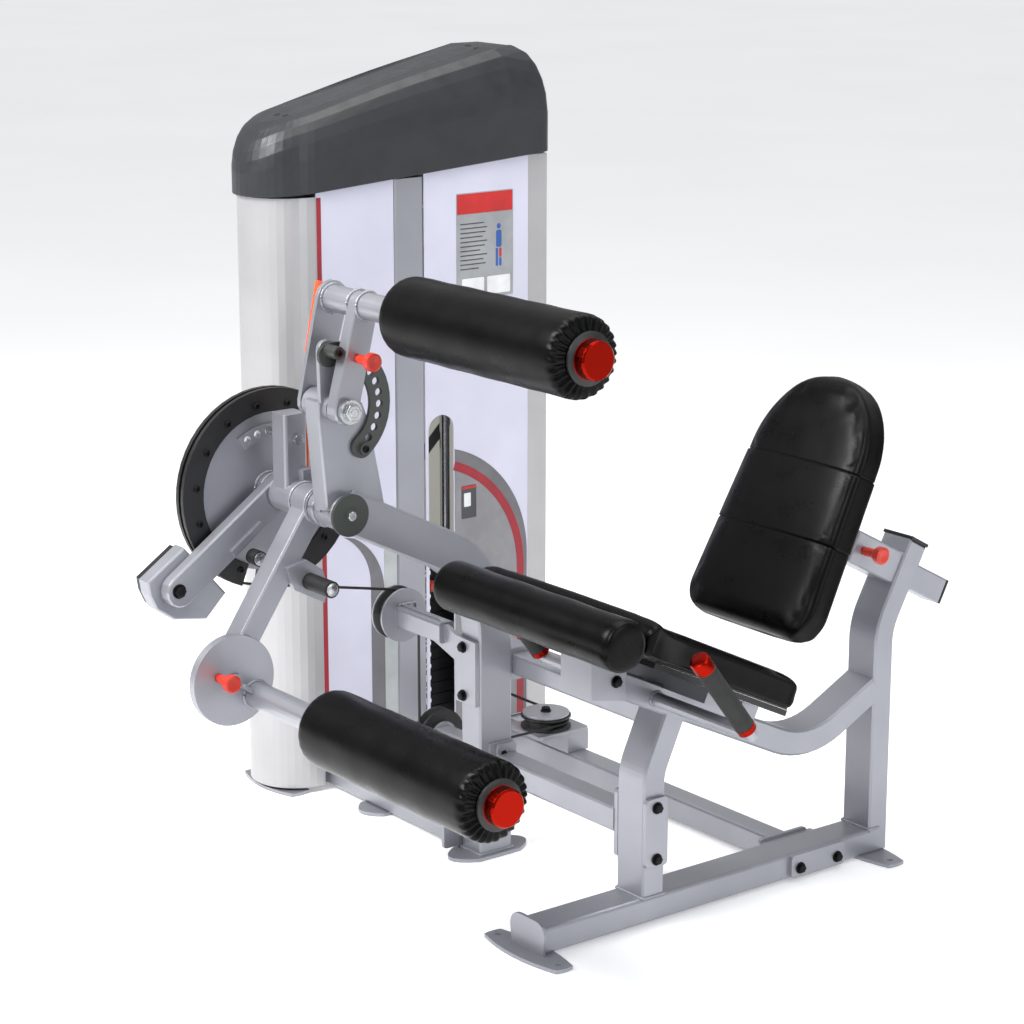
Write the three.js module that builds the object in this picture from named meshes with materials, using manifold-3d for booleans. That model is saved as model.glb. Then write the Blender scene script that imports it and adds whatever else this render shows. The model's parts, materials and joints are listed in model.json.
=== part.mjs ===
// Selectorised leg extension machine: seat frame, main post with its boom, exercise arm, cam and
// counterweight, thigh hold-down, sliding backrest and an enclosed weight stack.
// Millimetres, +Z up. The exercise axis is the line y = 0, z = PIVOT_Z, along X.
// The user sits around x = 0 facing -Y, and the weight tower stands on the -X side.
import * as THREE from 'three';
import { mergeVertices, toCreasedNormals } from 'three/addons/utils/BufferGeometryUtils.js';
import Module from 'manifold-3d';

const wasm = await Module();
wasm.setup();

// ---------------------------------------------------------------- driving dimensions
const FIT_GAP = 0.3; // clearance left between pieces that touch
const TUBE_EDGE = 6; // outer corner radius of the square tubes
const FOOT_T = 6; // thickness of the floor plates
const BASE_TOP = 56; // top of the floor tubes

const SEAT_HALF_W = 38; // half width of the seat frame tubes
const SEAT_TUBE_D = 50; // depth of the seat frame tubes
const BASE_FRONT_Y = 101; // front end of the seat base tube
const REAR_POST_Y = 944; // centre of the rear post at the floor
const FRONT_POST_Y = 361; // centre of the front post at the floor
const SEAT_TILT = THREE.MathUtils.degToRad(25.6); // fall of the seat rail to the back
const SEAT_ORIGIN = [443, 402]; // a point of the rail's axis under the seat, in (y, z)

const PIVOT_Z = 748; // height of the exercise axis
const POST_X = [-481, -419]; // main post, across X
const POST_Y = 344.5; // centre of the main post, along Y
const POST_D = 79; // depth of the main post tube
const BOOM_FALL = 0.4986; // fall of the boom per millimetre of Y
const BOOM_BEND_R = 210; // centre-line radius where the post turns into the boom

const SHAFT_R = 15; // fixed exercise shaft
const SLEEVE_R = 33; // rotating sleeves on the shaft
const SLEEVE_BORE = 15.5;

const CAM_R = 195; // outside of the cam rim
const CAM_PITCH_R = 190; // cable centre on the cam
const CAM_RING_IN = 150; // inside of the rim's near flange
const CAM_PLATE_R = 160;
const CAM_X = [-700, -674]; // rim, far and near faces
const CAM_PLATE_X = [-691, -683];
const CAM_SLEEVE_X = [-700, -632];
const WEIGHT_ARM_X = [-664, -636];
const START_PLATE_X = -676; // near face of the plate that holds the start-position holes
const CABLE_R = 3;
const WRAP_CLEARANCE = 50; // straight cable left out beside the cam, where it parts from the wrapped turn
const WRAP_ANCHOR = THREE.MathUtils.degToRad(7);
const CABLE_X = -687; // plane of the cable from the cam to the lower pulley
const PULLEY_R = 54; // outside of the small pulleys
const PULLEY_PITCH = 48;
const TOWER_PULLEY_R = 48; // tower base pulley
const TOWER_PULLEY_PITCH = 42;
const TOP_PULLEY_R = 93;
const TOP_PULLEY_PITCH = 87;
const PULLEY_W = 26;
const AXLE_R = 8;
const AXLE_BORE = 8.4;

const PAD_R = 72; // shin and thigh rollers
const PAD_X = [-258, 242];
const PAD_TUBE_R = 25;
const PAD_SPINDLE_R = 19;
const PAD_BORE = 19.5;

const ARM_DIR = [-0.559, -0.829]; // leg arm direction in (y, z)
const ARM_X = [-560, -510];
const LEG_SLEEVE_X = [-631, -504];
const ARM_D = 46;
const ARM_LENGTH = 362; // exercise axis to the centre of the shin discs
const LEVER_X = -599; // start lever
const SHIN_DISC_R = 86;
const SHIN_OFFSET = [46, -35]; // shin tube from the disc centre, in (y, z)

const THIGH_PIVOT = [-20, PIVOT_Z + 202]; // (y, z)
const THIGH_TUBE = [28, PIVOT_Z + 389];
const INDEX_HOLE_R = 97;
const INDEX_STEP = THREE.MathUtils.degToRad(13.07);
const INDEX_FIRST = THREE.MathUtils.degToRad(-42);
const INDEX_HOLES = 10;

const TOWER_X = [-1135, -935];
const TOWER_FRONT_Y = 280; // centre of the round front column
const TOWER_BACK_Y = 874;
const SHEET = 3; // sheet thickness of the tower shell
const SHELL_LOW = 66; // lower edge of the flat panels
const COLUMN_LOW = 12; // lower edge of the round front column
const MID_BAR_TOP = 1275; // top of the bar between the panels
const MID_BAR_Y = [475, 551];
const TOWER_TOP_Z = [1206, 1252]; // bar that the top pulley and guide rods hang from
const STACK_X = -1040;
const STACK_Y = 592;
const PLATE_PITCH = 26.3;
const STACK_Z = 84; // underside of the lowest plate
const RESTING_PLATES = 11;
const LIFTED_PLATES = 3;
const CAP_LOW_FRONT = 1255; // underside of the tower cap at its front end
const CAP_RISE = 51 / 714; // rise of that underside per millimetre of Y
const CAP_FRONT_Y = 170;

const BACK_TILT = THREE.MathUtils.degToRad(28);
const SLIDE_DIR = [Math.cos(BACK_TILT), -Math.sin(BACK_TILT)]; // backrest slide in (y, z)
const SLIDE_END = [1116, 507]; // rear end of the slide tube's axis
const SLIDE_TUBE = 50;
const SLEEVE_T = [-290, -150]; // backrest sleeve, along the slide axis

const IDLER = [304, 443]; // pulley centres in (y, z)
const POST_PULLEY = [IDLER[0] + 2 * PULLEY_PITCH, 169];
const TOP_PULLEY = [STACK_Y + TOP_PULLEY_PITCH, 1110];
const TOWER_PULLEY = [STACK_X + TOWER_PULLEY_PITCH, TOP_PULLEY[0] + TOP_PULLEY_PITCH,
  POST_PULLEY[1] - PULLEY_PITCH + TOWER_PULLEY_PITCH]; // in (x, y, z)
const FLOOR_PULLEY = [CABLE_X - PULLEY_PITCH, TOWER_PULLEY[1] - PULLEY_PITCH, POST_PULLEY[1] - PULLEY_PITCH];
const GUIDE_RODS = { front: [STACK_X, STACK_Y - 110], rear: [STACK_X - 34, STACK_Y + 110] };
const GUIDE_ROD_R = 11;
const DROP_TOP = TOP_PULLEY[1] - 20; // upper end of the cable run above the stem
const STEM_TOP = 560; // top of the selector stem
const RAIL_PATH_CORNERS = [[280, 480], [749, 255.5, 180], [930, 346.5]];
const REAR_TOP = [1030, 622];

// ---------------------------------------------------------------- materials
const paint = (name, color, roughness, metalness) =>
  new THREE.MeshStandardMaterial({ name, color, roughness, metalness });
const FINISH = {
  frame: () => paint('frame_paint', 0xa9abb3, 0.38, 0.55),
  panel: () => paint('panel_white', 0xdcdce8, 0.35, 0.0),
  cap: () => paint('cap_charcoal', 0x3f4246, 0.5, 0.0),
  vinyl: () => paint('vinyl_black', 0x161616, 0.45, 0.0),
  black: () => paint('black_plastic', 0x1a1a1b, 0.5, 0.0),
  rubber: () => paint('rubber_black', 0x1c1c1c, 0.8, 0.0),
  dark: () => paint('dark_steel', 0x4a4d4b, 0.45, 0.7),
  red: () => paint('red_plastic', 0xc23a26, 0.4, 0.0),
  anodised: () => paint('red_anodised', 0x9a1c0c, 0.25, 0.9),
  orange: () => paint('orange_grip', 0xe0562a, 0.5, 0.0),
  steel: () => paint('bright_steel', 0xc4c6c8, 0.3, 0.95),
  iron: () => paint('stack_iron', 0x202124, 0.6, 0.4),
  cable: () => paint('cable_black', 0x17171a, 0.5, 0.0),
};

// ---------------------------------------------------------------- solids
const toManifold = (geometry) => {
  const bare = geometry.clone();
  bare.deleteAttribute('normal');
  bare.deleteAttribute('uv');
  const welded = mergeVertices(bare, 1e-4);
  return new wasm.Manifold(new wasm.Mesh({
    numProp: 3,
    vertProperties: new Float32Array(welded.attributes.position.array),
    triVerts: new Uint32Array(welded.index.array),
  }));
};

const fromManifold = (solid) => {
  const mesh = solid.getMesh();
  const geometry = new THREE.BufferGeometry();
  geometry.setAttribute('position', new THREE.BufferAttribute(new Float32Array(mesh.vertProperties), 3));
  geometry.setIndex(new THREE.BufferAttribute(new Uint32Array(mesh.triVerts), 1));
  return geometry;
};

const fuse = (geometries) => fromManifold(geometries.map(toManifold).reduce((a, b) => a.add(b)));
const cut = (base, tools) =>
  fromManifold(tools.map(toManifold).reduce((a, b) => a.subtract(b), toManifold(base)));

// Extrude an outline along one axis. Outlines are in (y, z), (x, z) or (x, y).
const BASIS = {
  x: new THREE.Matrix4().makeBasis(
    new THREE.Vector3(0, 1, 0), new THREE.Vector3(0, 0, 1), new THREE.Vector3(1, 0, 0)),
  y: new THREE.Matrix4().makeBasis(
    new THREE.Vector3(1, 0, 0), new THREE.Vector3(0, 0, 1), new THREE.Vector3(0, -1, 0)),
  z: new THREE.Matrix4(),
};

const slab = (axis, outline, low, high, edge = 0) => {
  const geometry = new THREE.ExtrudeGeometry(outline, {
    depth: high - low - 2 * edge,
    curveSegments: 8,
    bevelEnabled: edge > 0,
    bevelSize: edge,
    bevelThickness: edge,
    bevelOffset: -edge,
    bevelSegments: 1,
  });
  geometry.translate(0, 0, edge);
  geometry.applyMatrix4(BASIS[axis]);
  const shift = axis === 'y' ? high : low;
  geometry.translate(axis === 'x' ? shift : 0, axis === 'y' ? shift : 0, axis === 'z' ? shift : 0);
  return geometry;
};

const polygon = (points) => new THREE.Shape(points.map(([a, b]) => new THREE.Vector2(a, b)));

const roundRect = (a0, a1, b0, b1, radius) => {
  const corners = [[a1 - radius, b0 + radius, -0.5], [a1 - radius, b1 - radius, 0],
    [a0 + radius, b1 - radius, 0.5], [a0 + radius, b0 + radius, 1]];
  const steps = 2;
  const points = [];
  for (const [a, b, start] of corners) {
    for (let k = 0; k <= steps; k += 1) {
      const angle = Math.PI * (start + (0.5 * k) / steps);
      points.push([a + radius * Math.cos(angle), b + radius * Math.sin(angle)]);
    }
  }
  return polygon(points);
};

const barX = (x0, x1, y0, y1, z0, z1, r = TUBE_EDGE) => slab('x', roundRect(y0, y1, z0, z1, r), x0, x1);
const barY = (x0, x1, y0, y1, z0, z1, r = TUBE_EDGE) => slab('y', roundRect(x0, x1, z0, z1, r), y0, y1);
const barZ = (x0, x1, y0, y1, z0, z1, r = TUBE_EDGE) => slab('z', roundRect(x0, x1, y0, y1, r), z0, z1);

// Cylinder along one axis; c holds the two coordinates across it, in axis order.
const rod = (axis, [c0, c1], radius, low, high, segments = 24) => {
  const geometry = new THREE.CylinderGeometry(radius, radius, high - low, segments);
  const mid = (low + high) / 2;
  if (axis === 'x') return geometry.rotateZ(Math.PI / 2).translate(mid, c0, c1);
  if (axis === 'y') return geometry.translate(c0, mid, c1);
  return geometry.rotateX(Math.PI / 2).translate(c0, c1, mid);
};

// Cylinder from one point to another.
const rodBetween = (from, to, radius, segments = 18) => {
  const a = new THREE.Vector3(...from);
  const b = new THREE.Vector3(...to);
  const geometry = new THREE.CylinderGeometry(radius, radius, a.distanceTo(b), segments);
  const turn = new THREE.Quaternion().setFromUnitVectors(
    new THREE.Vector3(0, 1, 0), b.clone().sub(a).normalize());
  geometry.applyQuaternion(turn);
  const mid = a.add(b).multiplyScalar(0.5);
  return geometry.translate(mid.x, mid.y, mid.z);
};

const ball = ([x, y, z], radius) => new THREE.SphereGeometry(radius, 14, 8).translate(x, y, z);

// Round the corners of an open path: points are [a, b, radius].
const filletPath = (points, steps = 6) => {
  const out = [[points[0][0], points[0][1]]];
  for (let k = 1; k < points.length - 1; k += 1) {
    const corner = new THREE.Vector2(points[k][0], points[k][1]);
    const before = new THREE.Vector2(...points[k - 1].slice(0, 2)).sub(corner).normalize();
    const after = new THREE.Vector2(...points[k + 1].slice(0, 2)).sub(corner).normalize();
    const half = Math.acos(before.dot(after)) / 2;
    const reach = points[k][2] / Math.tan(half);
    const middle = before.clone().add(after).normalize().multiplyScalar(points[k][2] / Math.sin(half));
    const centre = corner.clone().add(middle);
    const start = corner.clone().addScaledVector(before, reach).sub(centre);
    const end = corner.clone().addScaledVector(after, reach).sub(centre);
    const sweep = Math.atan2(start.cross(end), start.dot(end));
    for (let s = 0; s <= steps; s += 1) {
      const point = start.clone().rotateAround(new THREE.Vector2(), (sweep * s) / steps).add(centre);
      out.push([point.x, point.y]);
    }
  }
  const last = points[points.length - 1];
  out.push([last[0], last[1]]);
  return out;
};

// Outline of a strip of constant width along a path.
const ribbon = (path, width) => {
  const left = [];
  const right = [];
  path.forEach((point, k) => {
    const p = new THREE.Vector2(...path[Math.max(k - 1, 0)]);
    const q = new THREE.Vector2(...path[Math.min(k + 1, path.length - 1)]);
    const here = new THREE.Vector2(...point);
    const inward = k > 0 ? here.clone().sub(p).normalize() : null;
    const outward = k < path.length - 1 ? q.clone().sub(here).normalize() : null;
    const along = (inward || outward).clone().add(outward || inward).normalize();
    const normal = new THREE.Vector2(-along.y, along.x);
    const stretch = 1 / Math.abs(along.dot(inward || outward));
    left.push(here.clone().addScaledVector(normal, (width / 2) * stretch));
    right.push(here.clone().addScaledVector(normal, (-width / 2) * stretch));
  });
  return new THREE.Shape([...right, ...left.reverse()]);
};

// Bar with two round ends, as an outline.
const capsule = ([a0, b0], r0, [a1, b1], r1, steps = 7) => {
  const span = Math.hypot(a1 - a0, b1 - b0);
  const heading = Math.atan2(b1 - b0, a1 - a0);
  const lean = Math.asin((r0 - r1) / span);
  const points = [];
  for (let k = 0; k <= steps; k += 1) {
    const angle = heading + Math.PI / 2 - lean + ((Math.PI + 2 * lean) * k) / steps;
    points.push([a0 + r0 * Math.cos(angle), b0 + r0 * Math.sin(angle)]);
  }
  for (let k = 0; k <= steps; k += 1) {
    const angle = heading - Math.PI / 2 + lean + ((Math.PI - 2 * lean) * k) / steps;
    points.push([a1 + r1 * Math.cos(angle), b1 + r1 * Math.sin(angle)]);
  }
  return polygon(points);
};

const ringSector = ([a, b], inner, outer, from, to, steps) => {
  const points = [];
  for (let k = 0; k <= steps; k += 1) {
    const angle = from + ((to - from) * k) / steps;
    points.push([a + outer * Math.cos(angle), b + outer * Math.sin(angle)]);
  }
  for (let k = steps; k >= 0; k -= 1) {
    const angle = from + ((to - from) * k) / steps;
    points.push([a + inner * Math.cos(angle), b + inner * Math.sin(angle)]);
  }
  return polygon(points);
};

const polar = ([a, b], radius, angle) => [a + radius * Math.cos(angle), b + radius * Math.sin(angle)];

// Floor plate, rounded at its tips and bowed along its two long sides.
const footPlate = (cx, cy, halfX, halfY) => {
  const shape = new THREE.Shape();
  const tip = 0.55;
  shape.moveTo(cx - halfX, cy - tip * halfY);
  shape.quadraticCurveTo(cx, cy - 1.45 * halfY, cx + halfX, cy - tip * halfY);
  shape.quadraticCurveTo(cx + halfX * 1.05, cy, cx + halfX, cy + tip * halfY);
  shape.quadraticCurveTo(cx, cy + 1.45 * halfY, cx - halfX, cy + tip * halfY);
  shape.quadraticCurveTo(cx - halfX * 1.05, cy, cx - halfX, cy - tip * halfY);
  return slab('z', shape, 0, FOOT_T + 1);
};

const floorBolt = (x, y) => rod('z', [x, y], 6, -1, FOOT_T + 2, 16);

// Grooved pulley about an axis along X, centred on the origin.
const pulleyX = (radius, pitch) => {
  const half = PULLEY_W / 2;
  const groove = pitch - CABLE_R - 0.6;
  const profile = [[AXLE_BORE, -half], [radius, -half], [radius, -half + 3], [groove, -4],
    [groove, 4], [radius, half - 3], [radius, half], [AXLE_BORE, half], [AXLE_BORE, -half]]
    .map(([r, h]) => new THREE.Vector2(r, h));
  return new THREE.LatheGeometry(profile, 26).rotateZ(-Math.PI / 2);
};

// Two side discs and an axle that hold a pulley, about an axis along X.
const pulleyCheeks = (radius, [y, z], x, outward) => {
  const gap = PULLEY_W / 2 + 1;
  return [rod('x', [y, z], radius, x - gap - outward, x - gap, 28),
    rod('x', [y, z], radius, x + gap, x + gap + outward, 28),
    rod('x', [y, z], AXLE_R, x - gap - outward + 1, x + gap + outward - 1, 14)];
};

const group = new THREE.Group();
group.name = 'leg_extension_machine';
const model = new THREE.Group();
model.name = 'machine';
group.add(model);

const add = (name, geometry, material) => {
  const mesh = new THREE.Mesh(toCreasedNormals(geometry, 0.6), material);
  mesh.name = name;
  model.add(mesh);
  return mesh;
};

// ---------------------------------------------------------------- seat frame
const slideBore = () => {
  const size = SLIDE_TUBE / 2 + 0.5;
  return slab('x', ribbon([[SLIDE_END[0] - 420 * SLIDE_DIR[0], SLIDE_END[1] - 420 * SLIDE_DIR[1]],
    [SLIDE_END[0] + 40 * SLIDE_DIR[0], SLIDE_END[1] + 40 * SLIDE_DIR[1]]], 2 * size), -size, size);
};
const alongSlide = (t) => [SLIDE_END[0] + t * SLIDE_DIR[0], SLIDE_END[1] + t * SLIDE_DIR[1]];

const seatFrame = () => {
  const w = SEAT_HALF_W;
  const plateOut = w + 8;
  const frontEnd = new THREE.Shape();
  frontEnd.moveTo(-46, FOOT_T);
  frontEnd.lineTo(46, FOOT_T);
  frontEnd.lineTo(50, 44);
  frontEnd.quadraticCurveTo(48, 70, 20, 70);
  frontEnd.lineTo(-20, 70);
  frontEnd.quadraticCurveTo(-48, 70, -50, 44);
  const rearPost = filletPath([[REAR_POST_Y, FOOT_T], [REAR_POST_Y, 465, 130], REAR_TOP]);
  const frontPost = filletPath([[FRONT_POST_Y, 50], [FRONT_POST_Y, 292, 110], [411, 402]]);
  const slideSleeve = slab('x', ribbon([alongSlide(SLEEVE_T[0]), alongSlide(SLEEVE_T[1])], 64), -32, 32, 3);
  const solid = fuse([
    barY(-w, w, BASE_FRONT_Y - 4, REAR_POST_Y, FOOT_T, BASE_TOP),
    slab('y', frontEnd, BASE_FRONT_Y - 6, BASE_FRONT_Y),
    slab('x', ribbon(rearPost, SEAT_TUBE_D), -w, w, 4),
    slab('x', ribbon(frontPost, 52), -w, w, 4),
    slab('x', ribbon(filletPath(RAIL_PATH_CORNERS, 8), SEAT_TUBE_D), -w, w, 4),
    slab('x', roundRect(335, 387, 116, 250, 8), w - 2, plateOut),
    slab('x', roundRect(335, 387, 116, 250, 8), -plateOut, -w + 2),
    slab('x', roundRect(704, 846, 8, 54, 8), w - 2, plateOut),
    slab('x', roundRect(704, 846, 8, 54, 8), -plateOut, -w + 2),
    footPlate(0, 97, 106, 34),
    footPlate(0, 928, 106, 36),
    seatBrackets(),
    slideSleeve,
  ]);
  return cut(solid, [slideBore(), floorBolt(-88, 97), floorBolt(88, 97), floorBolt(-88, 928),
    floorBolt(88, 928), rod('x', alongSlide(-262), 8, 20, 40, 16)]);
};

// A point of the seat in (y, z): along its slope to the back, and up from the rail's axis.
const onSeat = (along, up) => [
  SEAT_ORIGIN[0] + along * Math.cos(SEAT_TILT) + up * Math.sin(SEAT_TILT),
  SEAT_ORIGIN[1] - along * Math.sin(SEAT_TILT) + up * Math.cos(SEAT_TILT),
];

// Cross channels that carry the seat board above the rail, and the plate at the rail's front end.
const seatBrackets = () => {
  const across = 150;
  const beam = (s) => slab('x', polygon([onSeat(s - 22, 20), onSeat(s + 22, 20), onSeat(s + 22, 47.5),
    onSeat(s - 22, 47.5)]), -across, across);
  const nose = slab('x', polygon([[205, 467], [286, 452], [286, 512], [205, 547]]),
    -SEAT_HALF_W - 6, SEAT_HALF_W + 6);
  return fuse([beam(-60), beam(30), nose]);
};

const seatGroup = () => {
  add('seat_frame', seatFrame(), FINISH.frame());
  const seatX = [-245, 225];
  add('seat_board', slab('x', polygon([onSeat(-292, 48), onSeat(55, 48), onSeat(55, 59), onSeat(-292, 59)]),
    seatX[0] + 8, seatX[1] - 8), FINISH.black());
  add('seat_pad', slab('x', polygon([onSeat(-290, 59.5), onSeat(63, 59.5), onSeat(63, 117), onSeat(-290, 117)]),
    seatX[0], seatX[1], 12), FINISH.vinyl());
  add('seat_roll', rod('x', [121, 629], 47.5, -262, 242, 40), FINISH.vinyl());
};

const handle = (side) => {
  const reach = 290 * side;
  const foot = (SEAT_HALF_W + FIT_GAP) * side;
  const elbow = [reach, 362, 438];
  const lean = [0, -0.61, 0.792];
  const along = (s) => elbow.map((value, k) => value + s * lean[k]);
  const label = side > 0 ? 'left' : 'right';
  add(`handle_${label}`, fuse([rodBetween([foot, elbow[1], elbow[2]], elbow, 13.5), ball(elbow, 13.5),
    rodBetween(elbow, along(200), 13.5)]), FINISH.frame());
  const hollow = cut(rodBetween(along(26), along(178), 18, 28), [rodBetween(along(20), along(190), 13.8, 28)]);
  add(`grip_${label}`, hollow, FINISH.rubber());
};

const backrest = () => {
  const up = [Math.sin(BACK_TILT), Math.cos(BACK_TILT)];
  const front = [-Math.cos(BACK_TILT), Math.sin(BACK_TILT)];
  const frontOffset = -263.3;
  const thickness = 66;
  const shape = new THREE.Shape();
  shape.moveTo(-110, 746);
  shape.lineTo(110, 746);
  shape.quadraticCurveTo(172, 748, 170, 815);
  shape.lineTo(152, 1100);
  shape.bezierCurveTo(146, 1200, 75, 1252, 0, 1252);
  shape.bezierCurveTo(-75, 1252, -146, 1200, -152, 1100);
  shape.lineTo(-170, 815);
  shape.quadraticCurveTo(-172, 748, -110, 746);
  const pad = new THREE.ExtrudeGeometry(shape, { depth: thickness - 28, curveSegments: 10, bevelSize: 14,
    bevelThickness: 14, bevelOffset: -14, bevelSegments: 3 });
  pad.translate(0, 0, frontOffset - thickness + 14);
  pad.applyMatrix4(new THREE.Matrix4().makeBasis(new THREE.Vector3(1, 0, 0),
    new THREE.Vector3(0, up[0], up[1]), new THREE.Vector3(0, front[0], front[1])));
  add('back_pad', pad, FINISH.vinyl());
  const half = SLIDE_TUBE / 2;
  const tube = slab('x', ribbon([alongSlide(-414), alongSlide(0)], SLIDE_TUBE), -half, half, 3);
  const plate = slab('x', ribbon([alongSlide(-417.5), alongSlide(-409.5)], 200), -60, 60);
  add('backrest_slide', fuse([tube, plate]), FINISH.frame());
  popPin('backrest_pop_pin', [...alongSlide(-262)], 26, 34);
};

// Spring-loaded pin with a flared knob, about an axis along X. It passes its collar at x.
function popPin(name, [y, z], tip, collar) {
  const profile = [[0, tip], [7, tip], [7, collar + 4], [9, collar + 6], [9, collar + 26], [17, collar + 38],
    [17, collar + 50], [13, collar + 52], [0, collar + 50]].map(([r, h]) => new THREE.Vector2(r, h));
  const pin = new THREE.LatheGeometry(profile, 18).rotateZ(-Math.PI / 2);
  add(name, pin.translate(0, y, z), FINISH.red());
}

// Points in (y, z) that are given from the height of the exercise axis.
const fromAxis = (...points) => points.map(([y, rise]) => [y, PIVOT_Z + rise]);

// ---------------------------------------------------------------- main post, boom and cross tubes
const mainPost = () => {
  const boomTop = PIVOT_Z + 7;
  const cornerZ = boomTop - POST_Y * BOOM_FALL;
  const path = filletPath([[POST_Y, FOOT_T], [POST_Y, cornerZ, BOOM_BEND_R], [0, boomTop]], 8);
  const thighPost = polygon(fromAxis([-36, 4], [-52, 182], [-52, 214], [-10, 227], [45, 202], [61, 164],
    [94, -3], [40, -8]));
  const neckTop = [THIGH_PIVOT[0] - 11, THIGH_PIVOT[1] + 107];
  const solid = fuse([
    slab('x', ribbon(path, POST_D), ...POST_X, 4),
    footPlate(-450, 345, 42, 92),
    rod('x', [0, PIVOT_Z], SLEEVE_R, -500, -412, 32),
    rod('x', [0, PIVOT_Z], SHAFT_R, -712, -490, 24),
    slab('x', thighPost, -473, -428, 3),
    slab('x', capsule(THIGH_PIVOT, 26, neckTop, 18), -438, -428),
    rod('x', THIGH_PIVOT, 28, -490, -428, 32),
    rod('x', THIGH_PIVOT, 24, -430, -416, 32),
    slab('x', roundRect(383, 437, 352, 418, 6), POST_X[0] + 4, POST_X[1] - 4),
    slab('y', roundRect(-421, -413, 140, 236, 3), 325, 382),
    ...pulleyCheeks(30, POST_PULLEY, CABLE_X, 6).slice(1),
    barX(CABLE_X + PULLEY_W / 2 + 2, POST_X[0] + 5, POST_PULLEY[0] - 20, POST_PULLEY[0] + 20,
      POST_PULLEY[1] - 20, POST_PULLEY[1] + 20),
    barY(POST_X[0] + 4, POST_X[1] - 4, 360, POST_PULLEY[0] + 20, POST_PULLEY[1] - 20, POST_PULLEY[1] + 20),
  ]);
  return cut(solid, [rod('x', THIGH_PIVOT, 10.5, -500, -400, 28)]);
};

const indexPlate = () => {
  const endAngle = THREE.MathUtils.degToRad(-54);
  const topAngle = THREE.MathUtils.degToRad(97);
  const far = -427.7;
  const near = -420;
  const ends = [endAngle, topAngle].map((angle) => rod('x', polar(THIGH_PIVOT, 99, angle), 22, far, near, 24));
  const stops = [
    rod('x', polar(THIGH_PIVOT, 108, topAngle), 12, near - 1, -386, 24),
    rod('x', polar(THIGH_PIVOT, 104, endAngle), 12, near - 1, -413, 20),
  ];
  const holes = [];
  for (let k = 0; k < INDEX_HOLES; k += 1) {
    const hole = polar(THIGH_PIVOT, INDEX_HOLE_R, INDEX_FIRST + k * INDEX_STEP);
    holes.push(rod('x', hole, 7.6, far - 1, near + 1, 14));
  }
  const sector = slab('x', ringSector(THIGH_PIVOT, 77, 121, endAngle, topAngle, 20), far, near);
  return cut(fuse([sector, ...ends, ...stops]), holes);
};

const crossTubes = () => {
  const nearX = -(SEAT_HALF_W + 8 + FIT_GAP);
  add('cross_tube_front', fuse([barX(POST_X[1] + 6.3, nearX, 333, 384, 163, 213),
    slab('x', roundRect(337, 383, 142, 234, 8), POST_X[1] + 6.3, POST_X[1] + 14)]), FINISH.frame());
  add('cross_tube_rear', fuse([barX(TOWER_X[1] - 19.7, nearX, 737, 788, FOOT_T, BASE_TOP),
    slab('x', roundRect(706, 830, 10, 60, 8), nearX - 7, nearX)]), FINISH.frame());
  add('cross_tube_upper', barX(POST_X[1] - 3.7, -SEAT_HALF_W - FIT_GAP, 387, 432, 364, 406), FINISH.frame());
  const lift = FOOT_T + 1 + FIT_GAP;
  add('cross_tube_base', fuse([barX(TOWER_X[1] - 19.7, POST_X[0] - 0.3, 300, 350, lift, BASE_TOP + 8),
    barX(-796, -748, 306, 344, FOOT_T, lift + TUBE_EDGE, 2),
    slab('x', roundRect(262, 384, 12, 74, 6), POST_X[0] - 8, POST_X[0] - 0.3),
    footPlate(-772, 325, 42, 62)]), FINISH.frame());
};

const idler = () => {
  const [y, z] = IDLER;
  const armFar = CABLE_X + PULLEY_W / 2 + 4;
  const shape = polygon([[armFar, z - 24], [-560, z - 24], [-487, 396], [-484, 315], [-421, 315], [-421, 445],
    [-487, 448], [-540, z + 24], [armFar, z + 24]]);
  add('idler_bracket', fuse([...pulleyCheeks(PULLEY_R + 1, IDLER, CABLE_X, 4),
    slab('y', shape, 295, POST_Y - POST_D / 2 - FIT_GAP),
    barX(armFar - 1, -520, y - 22, y + 14, z - 21, z + 21),
  ]), FINISH.frame());
  add('idler_pulley', pulleyX(PULLEY_R, PULLEY_PITCH).translate(CABLE_X, y, z), FINISH.black());
  add('post_pulley', pulleyX(PULLEY_R, PULLEY_PITCH).translate(CABLE_X, ...POST_PULLEY), FINISH.black());
};

// ---------------------------------------------------------------- exercise arm
const axisSleeve = (low, high, radius = SLEEVE_R) => rod('x', [0, PIVOT_Z], radius, low, high, 32);
const sleeveBore = (low, high) => rod('x', [0, PIVOT_Z], SLEEVE_BORE, low - 1, high + 1, 24);
const onArm = (s) => [s * ARM_DIR[0], PIVOT_Z + s * ARM_DIR[1]];

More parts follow.
